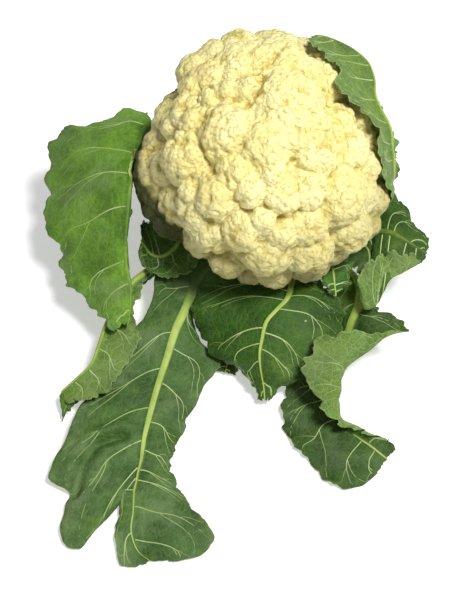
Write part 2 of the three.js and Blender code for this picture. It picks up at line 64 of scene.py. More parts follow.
MM = 0.001
HEAD_CENTRE = np.array([1.0, -1.0, 103.0])
HEAD_LEAN = math.radians(15)            # the crown leans this far toward the front
HEAD_AXES = np.array([90.0, 99.0, 86.0])
CORE_DEPTH = 12.0                       # the deepest cleft, below that egg-shaped surface
RIM_ANGLE = 112.0                       # the florets end at this angle from the crown
STALK_TOP = 62.0
UNDERSIDE_FLAT = 34.0                   # the curd is flat underneath out to this radius
GAP = 0.3                               # air between neighbouring pieces

# Between the large florets that are listed, others fill a spiral where they find room.
FILLING_TRIES = 110
FILLING_WIDTH = (11, 6)                 # least half width, and how much more it may be
CLOSEST_FLORETS = 0.72                  # their distance as a share of both half widths
FLORET_BALL = 1.15                      # radius of a large floret's ball by its half width
LARGE_SUNK = 1.8                        # how far the balls stay below the small florets

FLORET_SPACING = 12.0
FLORET_RADIUS = 7.6
FLORET_RISE = 2.2                       # how far the small florets stand out of a ball

CURD_FACETS = 96
DOME_FACETS = 126.0                     # the facets down to this angle are spread over the dome
FURROW_WIDTH = 2.6
FURROW_WAVE = (0.014, 45)               # how far a furrow wanders, and how often
SMOOTHING_ROUNDS = 26
CLEFT_DEPTH = 5.0
CLEFT_KEPT = 2.0                        # past this depth, a cleft is partly grown over
CLEFT_FILLED = 0.55
LARGE_BUD_RISE = 0.0036                 # in metres
SMALL_BUD_RISE = 0.0011

# The large florets that can be told apart: bearing, angle from the crown, half width, rise.
LARGE_FLORETS = [
    (45, 14, 26, 1), (-160, 26, 21, 0), (114, 44, 19, 0), (95, 41, 18, 0), (78, 38, 17, 2),
    (50, 52, 15, 0), (30, 62, 13, -4), (-43, 61, 20, 2), (-162, 55, 20, 0), (-100, 18, 18, 0),
    (-91, 78, 17, 0), (-70, 82, 16, 2), (-39, 34, 16, 0), (-17, 50, 16, 0), (-125, 54, 16, 0),
    (-46, 84, 16, 5), (-33, 98, 14, 6), (-8, 88, 13, 0), (-134, 70, 15, 0),
    (-122, 75, 15, 0), (-104, 65, 14, 0), (144, 55, 13, 0), (135, 47, 13, 0), (-61, 47, 13, 0),
    (-69, 64, 13, 0), (-23, 14, 12, 0), (-7, 26, 12, 0), (3, 42, 12, -2), (178, 43, 12, 0),
    (-121, 38, 12, 0), (-111, 93, 12, 0), (36, 46, 11, 0), (52, 39, 10, 0), (129, 19, 10, 0),
    (-48, 1, 10, 0), (171, 62, 10, 0), (-140, 61, 10, 0), (-105, 43, 10, 0), (-82, 45, 12, 0),
    (-22, 91, 13, 5), (-83, 64, 10, 0), (147, 27, 9, 0), (156, 34, 9, 0), (-87, 34, 8, 0),
    (-53, 22, 8, 0), (-94, 56, 8, 0), (133, 68, 13, 5), (120, 67, 13, 4), (106, 65, 13, 4),
    (-169, 91, 19, 9), (-160, 94, 18, 9), (-150, 97, 16, 6), (-176, 89, 17, 8),
    (176, 85, 16, 3), (-168, 101, 17, 7),
]

# Furrows between the branches: depth, then points by bearing and angle from the crown.
FURROWS = [
    (4, [
        (148, 40), (160, 29), (161, 18), (157, 13), (126, 11), (105, 18), (78, 23), (50, 28),
        (17, 31),
    ]),
    (9, [(101, 17), (126, 11), (154, 11)]),
    (3.5, [(14, 36), (-6, 33), (-22, 39), (-38, 44), (-55, 53), (-60, 60)]),
    (2, [(-171, 40), (-151, 41), (-140, 46), (-136, 61), (-142, 71)]),
    (3, [(-117, 39), (-113, 50), (-113, 59)]),
    (3, [(-86, 42), (-70, 39), (-57, 46), (-55, 53)]),
]


def random_source(seed):
    """Numbers from 0 to 1, the same ones each run."""
    state = seed
    while True:
        state = state * 16807 % 2147483647
        yield state / 2147483647


def spiral_points(count, lowest=-1.0):
    """Evenly spread unit vectors, from the +Z pole down to the given height."""
    i = np.arange(count)
    z = 1 - (1 - lowest) * (i + 0.5) / count
    turn = i * math.pi * (3 - math.sqrt(5))
    across = np.sqrt(1 - z * z)
    return np.stack([np.cos(turn) * across, np.sin(turn) * across, z], 1)


def head_direction(bearing, angle):
    """Unit vectors in the head's own frame, from bearings and angles in degrees."""
    b, a = np.radians(bearing), np.radians(angle)
    return np.stack([np.cos(b) * np.sin(a), np.sin(b) * np.sin(a), np.cos(a)], -1)


def lean(points, way=1):
    """Tips points from the head's frame to the world's (way 1) or back (way -1)."""
    c, s = math.cos(HEAD_LEAN), way * math.sin(HEAD_LEAN)
    x, y, z = points[..., 0], points[..., 1], points[..., 2]
    return np.stack([x, c * y - s * z, s * y + c * z], -1)


def egg_radius(directions):
    """How far the egg-shaped surface lies from the head's centre."""
    return 1 / np.sqrt(((directions / HEAD_AXES) ** 2).sum(-1))


def underside_height(x, y):
    """Flat round the stalk, then a cone steep at the back, ridged under each branch."""
    out = np.hypot(x, y)
    bearing = np.arctan2(y, x)
    left = np.maximum(0, np.cos(bearing + math.radians(165)))
    slope = 0.38 + 0.48 * np.sin(bearing) - 0.12 * left ** 2
    branch = 0.12 * (1 - np.abs(np.cos(bearing * 5.5 + 0.4)))
    return STALK_TOP + GAP + np.maximum(out - UNDERSIDE_FLAT, 0) * (slope + branch)


def large_florets():
    """Centres and radii of the large florets' balls, in the head's own frame."""
    random = random_source(7)
    placed = [(head_direction(b, a), half, rise) for b, a, half, rise in LARGE_FLORETS]
    least, more = FILLING_WIDTH
    for direction in spiral_points(FILLING_TRIES, math.cos(math.radians(RIM_ANGLE))):
        half = least + more * next(random)
        crowded = any(
            math.acos(max(-1, min(1, float(direction @ other)))) * HEAD_AXES[0]
            < (size + half) * CLOSEST_FLORETS
            for other, size, _ in placed
        )
        if not crowded:
            placed.append((direction, half, 0))
    centres, radii = [], []
    for direction, half, rise in placed:
        radius = half * FLORET_BALL
        reach = egg_radius(direction) + rise + (half - 14) * 0.35 - radius
        centres.append(direction * reach)
        radii.append(radius)
    return np.array(centres), np.array(radii)


def turn_from_pole(axis):
    """The shortest turn that takes +Z to a unit vector, as a matrix."""
    return np.array(Vector((0, 0, 1)).rotation_difference(Vector(axis)).to_matrix())


def small_florets(centres, radii):
    """Small florets all over the part of each large one that shows."""
    random = random_source(11)
    found, sizes = [], []
    for k, (centre, big) in enumerate(zip(centres, radii)):
        count = round(4 * math.pi * big ** 2 / (FLORET_SPACING ** 2 * 0.87))
        turn = turn_from_pole(centre / np.linalg.norm(centre))
        others = np.arange(len(radii)) != k
        for way in spiral_points(count, -0.2):
            radius = FLORET_RADIUS * (0.85 + 0.35 * next(random))
            place = turn @ way * (big + FLORET_RISE - radius) + centre
            away = np.linalg.norm(centres[others] - place, axis=1)
            if not (away < radii[others] - radius).any():
                found.append(place)
                sizes.append(radius)
    return np.array(found), np.array(sizes)


def outermost(directions, centres, radii, floor):
    """Where rays from the head's centre leave the outermost sphere."""
    reach = floor.copy()
    for start in range(0, len(directions), 3000):
        d = directions[start:start + 3000]
        along = d @ centres.T
        inside = radii ** 2 - (centres ** 2).sum(1) + along ** 2
        hit = np.where((along > 0) & (inside > 0), along + np.sqrt(np.maximum(inside, 0)), 0)
        reach[start:start + 3000] = np.maximum(reach[start:start + 3000], hit.max(1))
    return reach


def geodesic_sphere(frequency):
    """Unit sphere of 20 * frequency squared triangles, as points and faces."""
    g = (1 + math.sqrt(5)) / 2
    corners = np.array([
        (-1, g, 0), (1, g, 0), (-1, -g, 0), (1, -g, 0), (0, -1, g), (0, 1, g),
        (0, -1, -g), (0, 1, -g), (g, 0, -1), (g, 0, 1), (-g, 0, -1), (-g, 0, 1),
    ])
    sides = [
        (0, 11, 5), (0, 5, 1), (0, 1, 7), (0, 7, 10), (0, 10, 11), (1, 5, 9), (5, 11, 4),
        (11, 10, 2), (10, 7, 6), (7, 1, 8), (3, 9, 4), (3, 4, 2), (3, 2, 6), (3, 6, 8),
        (3, 8, 9), (4, 9, 5), (2, 4, 11), (6, 2, 10), (8, 6, 7), (9, 8, 1),
    ]
    points, faces, base = [], [], 0
    index = {}
    for i in range(frequency + 1):
        for j in range(frequency + 1 - i):
            index[i, j] = len(index)
    steps = np.array(list(index)) / frequency
    pattern = []
    for i in range(frequency):
        for j in range(frequency - i):
            pattern.append((index[i, j], index[i + 1, j], index[i, j + 1]))
            if i + j < frequency - 1:
                pattern.append((index[i + 1, j], index[i + 1, j + 1], index[i, j + 1]))
    pattern = np.array(pattern)
    for a, b, c in sides:
        grid = corners[a] + steps[:, :1] * (corners[b] - corners[a])
        points.append(grid + steps[:, 1:] * (corners[c] - corners[a]))
        faces.append(pattern + base)
        base += len(steps)
    points = np.concatenate(points)
    points /= np.linalg.norm(points, axis=1)[:, None]
    _, first, back = np.unique(np.round(points, 6), axis=0, return_index=True, return_inverse=True)
    return points[first], back.ravel()[np.concatenate(faces)]


def mesh_object(name, points, faces, edges=()):
    """A smooth mesh object from points in millimetres, in the shared frame."""
    mesh = bpy.data.meshes.new(name)
    mesh.from_pydata((points * MM).tolist(), edges, faces.tolist())
    mesh.shade_smooth()
    made = bpy.data.objects.new(name, mesh)
    bpy.context.scene.collection.objects.link(made)
    return made


def put_attribute(thing, name, values, domain="POINT"):
    """Stores a number for each point or face."""
    layer = thing.data.attributes.new(name, "FLOAT", domain)
    layer.data.foreach_set("value", np.asarray(values, dtype=np.float32))


def distance_to(line, places):
    """How far each place is from a line drawn through points."""
    nearest = np.full(places.shape[:-1], 1e9)
    for a, b in zip(line[:-1], line[1:]):
        along = np.clip(((places - a) @ (b - a)) / ((b - a) @ (b - a)), 0, 1)
        away = np.linalg.norm(places - a - along[..., None] * (b - a), axis=-1)
        nearest = np.minimum(nearest, away)
    return nearest


def underside_reach(world):
    """How far each direction runs before it crosses the underside, or 1e9."""
    near, far = np.full(len(world), 20.0), np.full(len(world), 150.0)

    def below(t):
        place = world * t[:, None]
        return HEAD_CENTRE[2] + place[:, 2] < underside_height(place[:, 0], place[:, 1])

    crosses = below(far)
    for _ in range(40):
        middle = (near + far) / 2
        under = below(middle)
        far = np.where(under, middle, far)
        near = np.where(under, near, middle)
    return np.where(crosses, near, 1e9)


def evened_out(values, faces):
    """Values at the corners of triangles, averaged with those around them."""
    sides = np.concatenate([faces[:, :2], faces[:, 1:], faces[:, ::2]])
    edges = np.unique(np.sort(sides, 1), axis=0)
    around = values.copy()
    count = np.bincount(edges.ravel(), minlength=len(values))
    for _ in range(SMOOTHING_ROUNDS):
        total = np.bincount(edges[:, 0], around[edges[:, 1]], len(values))
        total += np.bincount(edges[:, 1], around[edges[:, 0]], len(values))
        around = total / count
    return around


def painted_curd_shade(bearing, angle):
    """Painted shade on the curd: darker low on the head, and darkest in a patch low on its left."""
    left = np.cos(np.radians(bearing + 168))
    painted_shade = 0.6 * np.clip((angle - 46) / 60, 0, 1) ** 1.25
    painted_shade += np.clip((angle - 80) / 5, 0, 1) * np.clip((left - 0.76) / 0.12, 0, 1)
    return np.minimum(painted_shade, 1)


def curd_surface():
    """Points and faces, and how deep in a cleft and how far under the rim each point is, and its
    painted shade.
    """
    directions, faces = geodesic_sphere(CURD_FACETS)
    angle = np.degrees(np.arccos(np.clip(directions[:, 2], -1, 1)))
    bearing = np.degrees(np.arctan2(directions[:, 1], directions[:, 0]))
    # The facets are drawn up over the dome, and left larger underneath.
    beyond = (180 - angle) * (180 - RIM_ANGLE) / (180 - DOME_FACETS)
    share = np.where(angle < DOME_FACETS, angle * RIM_ANGLE / DOME_FACETS, 180 - beyond)
    local = head_direction(bearing, share)
    core = egg_radius(local) - CORE_DEPTH
    reach = outermost(local, floret_centres, floret_radii, core)
    wave, turns = FURROW_WAVE
    wavering = local + wave * np.sin(local[:, [1, 2, 0]] * turns)
    for depth, line in FURROWS:
        line = head_direction(*np.array(line).T)
        away = distance_to(line, wavering) * HEAD_AXES[0] / FURROW_WIDTH
        reach = reach - depth * np.exp(-away ** 2)
    world = lean(local)
    floor = underside_reach(world)
    beneath = np.clip((reach - floor) / 6 + 0.5, 0, 1)
    reach = np.minimum(reach, floor)
    # Clefts are where the surface lies lower than its surroundings; their depth darkens the curd's
    # colour there as painted shade.
    around = evened_out(reach, faces)
    cleft_shade = np.clip((around - reach + 0.5) / CLEFT_DEPTH, 0, 1)
    filled = np.maximum(around - reach - CLEFT_KEPT, 0) * CLEFT_FILLED * (1 - beneath)
    reach = np.minimum(reach + filled, floor)
    points = world * reach[:, None] + HEAD_CENTRE
    return points, faces, cleft_shade, beneath, painted_curd_shade(bearing, share)


def sum_of(operation, swapped=False):
    """An operator of Wire that adds one Math node."""
    def add_node(self, other):
        return self.kit.maths(operation, *((other, self) if swapped else (self, other)))
    return add_node


class Wire:
    """A socket of a node tree that takes part in sums; kit makes the nodes."""

    def __init__(self, kit, socket):
        self.kit, self.socket = kit, socket

    __add__ = __radd__ = sum_of("ADD")
    __mul__ = __rmul__ = sum_of("MULTIPLY")
    __sub__ = sum_of("SUBTRACT")
    __rsub__ = sum_of("SUBTRACT", swapped=True)
    __truediv__ = sum_of("DIVIDE")
    __rtruediv__ = sum_of("DIVIDE", swapped=True)


class Kit:
    """Makes the nodes of one material or geometry tree."""

    def __init__(self, tree):
        self.tree = tree

    def node(self, kind, settings=None, inputs=None, output=0):
        """One node: its settings first, then the values or links of its sockets."""
        made = self.tree.nodes.new(kind)
        for key, value in (settings or {}).items():
            setattr(made, key, value)
        for key, value in (inputs or {}).items():
            if isinstance(value, Wire):
                self.tree.links.new(value.socket, made.inputs[key])
            else:
                made.inputs[key].default_value = value
        return Wire(self, made.outputs[output])

    def maths(self, operation, *values):
        return self.node("ShaderNodeMath", {"operation": operation}, dict(enumerate(values)))

    def between(self, value, low, high):
        """0 below low and 1 above high, or the other way round if low is the higher."""
        return self.node(
            "ShaderNodeMapRange", {"interpolation_type": "SMOOTHSTEP"},
            {"Value": value, "From Min": low, "From Max": high},
        )

    def mix(self, share, first, second):
        """A share of the second colour in the first."""
        inputs = {0: share, 6: first, 7: second}
        return self.node("ShaderNodeMix", {"data_type": "RGBA"}, inputs, 2)

    def noise(self, scale, detail=3, roughness=0.55, where=None):
        inputs = {"Scale": scale, "Detail": detail, "Roughness": roughness}
        return self.node("ShaderNodeTexNoise", {}, {**inputs, "Vector": where or self.place()})

    def cells(self, scale, feature="F1"):
        inputs = {"Vector": self.place(), "Scale": scale}
        return self.node("ShaderNodeTexVoronoi", {"feature": feature}, inputs)

    def place(self):
        """Object coordinates."""
        return self.node("ShaderNodeTexCoord", output=3)

    def attribute(self, name):
        """A number stored on the mesh."""
        return self.node("ShaderNodeAttribute", {"attribute_name": name}, output=2)

    def relief(self, height, strength, distance):
        """A normal that follows a height."""
        inputs = {"Height": height, "Strength": strength, "Distance": distance}
        return self.node("ShaderNodeBump", {}, inputs)


def colour(code):
    """A hex colour as linear (r, g, b, 1)."""
    parts = [int(code[i:i + 2], 16) / 255 for i in (1, 3, 5)]
    linear = [p / 12.92 if p <= 0.04045 else ((p + 0.055) / 1.055) ** 2.4 for p in parts]
    return (*linear, 1)


def finish(name, roughness=0.5, **constants):
    """A new material; returns it, its kit and its shader node."""
    made = bpy.data.materials.new(name)
    made.use_nodes = True
    shader = made.node_tree.nodes["Principled BSDF"]
    shader.inputs["Roughness"].default_value = roughness
    for key, value in constants.items():
        shader.inputs[key.replace("_", " ")].default_value = value
    return made, Kit(made.node_tree), shader


def wire_to(kit, shader, **sockets):
    """Feeds sockets of a shader, with _ for a space in their names."""
    for key, value in sockets.items():
        kit.tree.links.new(value.socket, shader.inputs[key.replace("_", " ")])


def curd_material():
    """Cream flesh: granular, with painted shade that makes it darker and yellower in its creases and
    clefts, and darker olive-green low on the head and most on its left.
    """
    made, kit, shader = finish(
        "curd_flesh", 0.6, Subsurface_Weight=0.2, Subsurface_Scale=0.0015,
        Subsurface_Radius=(1.0, 0.75, 0.35), Specular_IOR_Level=0.35,
    )
    tint = kit.between(kit.noise(28, 3), 0.38, 0.64)
    cream = kit.mix(tint, colour("#ECDF96"), colour("#F4EBAC"))
    far = kit.cells(400)
    grains = kit.maths("SQRT", kit.maths("MAXIMUM", 1.0 - far * far * 1.4, 0.02))
    speck = kit.between(kit.cells(75), 0.05, 0.035) * kit.between(kit.noise(9, 1), 0.62, 0.7)
    for share, tone in (
        (kit.between(kit.noise(13, 2), 0.5, 0.72) * 0.4, "#E8D67E"),
        # Painted shade: darker between the grains and between the buds, and in the clefts.
        (kit.between(grains, 0.8, 0.3) * 0.4, "#D3C26A"),
        (kit.between(kit.attribute("bud"), 0.24, 0.62) * 0.6, "#C3AF4C"),
        (kit.between(kit.attribute("cleft_shade"), 0.35, 1.0) * 0.55, "#A8933A"),
        (kit.attribute("under") * 0.9, "#93A04E"),
        # Painted shade: darker olive-green low on the head, and darkest in a patch low on its left.
        (kit.attribute("painted_shade"), "#3F430E"),
        (speck * 0.8, "#5E4A24"),
    ):
        cream = kit.mix(share, cream, colour(tone))
    wire_to(kit, shader, Base_Color=cream, Normal=kit.relief(grains, 1.0, 0.0009))
    return made


def started_tree(name, main, values):
    """A geometry tree's kit, its named inputs, and the identifiers of their sockets."""
    tree = bpy.data.node_groups.new(name, "GeometryNodeTree")
    sockets = {}
    for key, value in {main: None, **values}.items():
        kind = {type(None): "Geometry", int: "Int", float: "Float"}[type(value)]
        made = tree.interface.new_socket(key, in_out="INPUT", socket_type="NodeSocket" + kind)
        if value is not None:
            made.default_value = value
        sockets[key] = made.identifier
    tree.interface.new_socket(main, in_out="OUTPUT", socket_type="NodeSocketGeometry")
    kit = Kit(tree)
    entry = tree.nodes.new("NodeGroupInput")
    return kit, {s.name: Wire(kit, s) for s in entry.outputs if s.name}, sockets


def dressed_end(kit, shape, material):
    """Makes the shape real and gives it its main material."""
    real = kit.node("GeometryNodeRealizeInstances", {}, {"Geometry": shape})
    return kit.node("GeometryNodeSetMaterial", {}, {"Geometry": real, "Material": material})


def tree_output(kit, shape):
    """Sends the shape out of the tree."""
    end = kit.tree.nodes.new("NodeGroupOutput")
    kit.tree.links.new(shape.socket, end.inputs[0])


def bud_tree(material):
    """Raises round buds all over a surface, in two sizes, and marks the creases between, where the
    curd's colour takes painted shade.
    """
    kit, given, sockets = started_tree("buds", "Surface", {
        "Large Spacing": 0.0112, "Small Spacing": 0.0042, "Large Rise": LARGE_BUD_RISE,
        "Small Rise": SMALL_BUD_RISE, "Seed": 4,
    })

    def domes(spacing):
        """Height of round caps over evenly scattered points, 1 at their tops."""
        middles = kit.node(
            "GeometryNodeDistributePointsOnFaces", {"distribute_method": "POISSON"},
            {
                "Mesh": given["Surface"], "Distance Min": spacing,
                "Density Max": 6.0 / (spacing * spacing), "Seed": given["Seed"],
            },
        )
        far = kit.node(
            "GeometryNodeProximity", {"target_element": "POINTS"}, {"Geometry": middles}, 1,
        )
        far = far / spacing
        return kit.maths("SQRT", kit.maths("MAXIMUM", 1.0 - far * far * 1.3, 0.05))

    large = domes(given["Large Spacing"])
    small = domes(given["Small Spacing"])
    up = kit.node("GeometryNodeInputNormal")
    keep = 1.0 - kit.node(
        "GeometryNodeInputNamedAttribute", {"data_type": "FLOAT"}, {"Name": "under"},
    )
    # The surface stays where it was at this height of a cap, so the curd keeps its size.
    level = 0.84
    lift = (large - level) * given["Large Rise"] + (small - level) * given["Small Rise"]
    move = kit.node(
        "ShaderNodeVectorMath", {"operation": "SCALE"}, {0: up, "Scale": lift * keep},
    )
    raised = kit.node(
        "GeometryNodeSetPosition", {}, {"Geometry": given["Surface"], "Offset": move},
    )
    marked = kit.node(
        "GeometryNodeStoreNamedAttribute", {"data_type": "FLOAT", "domain": "POINT"},
        {"Geometry": raised, "Name": "bud", "Value": 1.0 - large * 0.6 - small * 0.4},
    )
    tree_output(kit, dressed_end(kit, marked, material))
    return kit.tree, sockets


def grown(thing, tree, values):
    """Runs a geometry tree on an object and keeps the result as its plain mesh."""
    modifier = thing.modifiers.new("grow", "NODES")
    modifier.node_group = tree
    for identifier, value in values.items():
        modifier[identifier] = value
    depsgraph = bpy.context.evaluated_depsgraph_get()
    mesh = bpy.data.meshes.new_from_object(
        thing.evaluated_get(depsgraph), preserve_all_data_layers=True, depsgraph=depsgraph,
    )
    old = thing.data
    thing.modifiers.remove(modifier)
    thing.data = mesh
    mesh.name = thing.name
    bpy.data.meshes.remove(old)


large, large_radii = large_florets()
small, small_radii = small_florets(large, large_radii)
floret_centres = np.concatenate([large, small])
floret_radii = np.concatenate([large_radii - LARGE_SUNK, small_radii])

points, faces, cleft_shade, beneath, painted_shade = curd_surface()
curd = mesh_object("curd_florets", points, faces)
put_attribute(curd, "cleft_shade", cleft_shade)
put_attribute(curd, "under", beneath)
put_attribute(curd, "painted_shade", painted_shade)
tree, inputs = bud_tree(curd_material())
grown(curd, tree, {
    inputs["Large Rise"]: LARGE_BUD_RISE, inputs["Small Rise"]: SMALL_BUD_RISE,
})
# The buds on the crown end level with the solid's top.
for vertex in curd.data.vertices:
    vertex.co.z = min(vertex.co.z, cad_high[2])
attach(curd, "root")
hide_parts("curd")


# ---- Stalk -------------------------------------------------------------------------------
# The stout stem that carries the head and the leaves. It is smooth and waxy, with the
# scars of leaves already taken off, and cut flat below, where its woody ring shows.

STALK_RADIUS = 27.0
BUTT_RADIUS = 24.0
STALK_FACETS = 144


def stalk_surface():
    """Points and faces of the stalk, turned about its axis, with its scars."""
    profile = np.array([
        (BUTT_RADIUS, 0), (25, 4), (25.6, 12), (26, 22), (26.2, 34), (26.6, 46),
        (STALK_RADIUS, 54), (STALK_RADIUS, STALK_TOP),
    ])
    heights = np.linspace(0, STALK_TOP, 63)
    radii = np.interp(heights, profile[:, 1], profile[:, 0])
    # The edge of the cut is bruised a little round.
    heights = np.concatenate([[0, 0, 0, 0, 0], [0.35], heights[1:], [STALK_TOP]])
    edge = [0.01, 6, 12, 18, BUTT_RADIUS - 0.6, BUTT_RADIUS - 0.1]
    radii = np.concatenate([edge, radii[1:], [0.01]])
    turn = np.arange(STALK_FACETS) * 2 * np.pi / STALK_FACETS
    z, t = np.meshgrid(heights, turn, indexing="ij")
    r = radii[:, None] * np.ones_like(t)
    on_side = (z > 1) & (z < STALK_TOP - 1)
    scar = 0.035 * np.cos(t * 5 + z * 0.16) ** 2 + 0.006 * np.sin(t * 23 + z * 0.05)
    r = np.where(on_side, r * (1 - np.maximum(scar, 0)), r)
    places = np.stack([np.cos(t) * r, np.sin(t) * r, z], -1).reshape(-1, 3)
    rings = len(heights)
    i, j = np.meshgrid(np.arange(rings - 1), np.arange(STALK_FACETS), indexing="ij")
    k = (j + 1) % STALK_FACETS
    a, b = i * STALK_FACETS + j, i * STALK_FACETS + k
    quads = np.stack([a, b, b + STALK_FACETS, a + STALK_FACETS], -1).reshape(-1, 4)
    return places, quads


def stalk_material():
    """Pale streaked skin, and a cut end with pith, a woody ring and a green rind."""
    made, kit, shader = finish(
        "stalk_skin", 0.45, Subsurface_Weight=0.2, Subsurface_Scale=0.003,
        Subsurface_Radius=(0.9, 1.0, 0.4),
    )
    spot = kit.node("ShaderNodeSeparateXYZ", {}, {"Vector": kit.place()})
    x, y, z = (Wire(kit, socket) for socket in spot.socket.node.outputs)
    out = kit.maths("SQRT", x * x + y * y)
    streaks = kit.noise(90, 3, 0.6, kit.node(
        "ShaderNodeVectorMath", {"operation": "MULTIPLY"}, {0: kit.place(), 1: (1, 1, 0.12)},
    ))
    skin = kit.mix(kit.between(streaks, 0.35, 0.68), colour("#A9BC7C"), colour("#CBD8A2"))
    skin = kit.mix(kit.between(kit.noise(24, 2), 0.5, 0.7) * 0.5, skin, colour("#DDE3BE"))
    # The cut: pale pith, a yellower woody ring and a thin green rind.
    ring = kit.between(out, 0.017, 0.0185) * kit.between(out, 0.0215, 0.0205)
    pith = kit.mix(kit.between(kit.cells(520), 0.2, 0.8), colour("#E4E6C2"), colour("#EFF0D6"))
    cut = kit.mix(ring * 0.75, pith, colour("#C6BE83"))
    cut = kit.mix(kit.between(out, 0.0222, 0.0232), cut, colour("#A9BC7C"))
    face = kit.between(z, 0.0006, 0.0002)
    grain = kit.relief(streaks, 0.35, 0.0008)
    wire_to(kit, shader, Base_Color=kit.mix(face, skin, cut), Normal=grain)
    return made


places, quads = stalk_surface()
stalk = mesh_object("stalk_stem", places, quads)
merged = bmesh.new()
merged.from_mesh(stalk.data)
bmesh.ops.remove_doubles(merged, verts=merged.verts, dist=0.0001)
bmesh.ops.recalc_face_normals(merged, faces=merged.faces)
merged.to_mesh(stalk.data)
merged.free()
stalk.data.materials.append(stalk_material())
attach(stalk, "root")
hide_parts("stalk")


# ---- Leaves ------------------------------------------------------------------------------
# Thirteen leaves stand round the head, each grown from the stalk by its foot. A leaf is one
# thin waxy blade with a thick pale midrib, side veins that arch to its tip and a waved,
# toothed margin. Its upper face is darker than its underside.

BLADE = 0.6
RIB_BELOW = 0.75                        # share of the midrib that stands out underneath
RIB_TIP = 0.8                           # half width and height of the midrib at its tip
NEAR_HEAD = 22.0                        # a blade no farther out than this lies on the head
OVER_HEAD = 104.0                       # it is pushed outward above this angle from the crown
UNDER_HEAD = 100.0                      # and down below this one, within the radius that follows
UNDER_RADIUS = 100.0
HEAD_CLEARANCE = 1.1
FEELER = 0.09                           # how far round a direction florets are felt for
SURFACE_CLEARANCE = 0.4
VEIN_SLANT = 0.6                        # how far veins run on toward the tip, in half widths
PUCKER = 0.045                          # swelling between veins, as a share of their spacing
MOST_PUCKER = 0.9
VEIN_RADII = (0.62, 0.38)               # of a side vein, at the midrib and at its end
FORK_END = 0.35                         # radius of a fork's end

# Forks of a side vein: the least share across the blade where one starts, how much more it
# may be, how far it drifts toward the next vein, and its radius there.
FORKS = [(0.26, 0.26, 0.5, 0.46), (0.5, 0.2, -0.36, 0.4)]
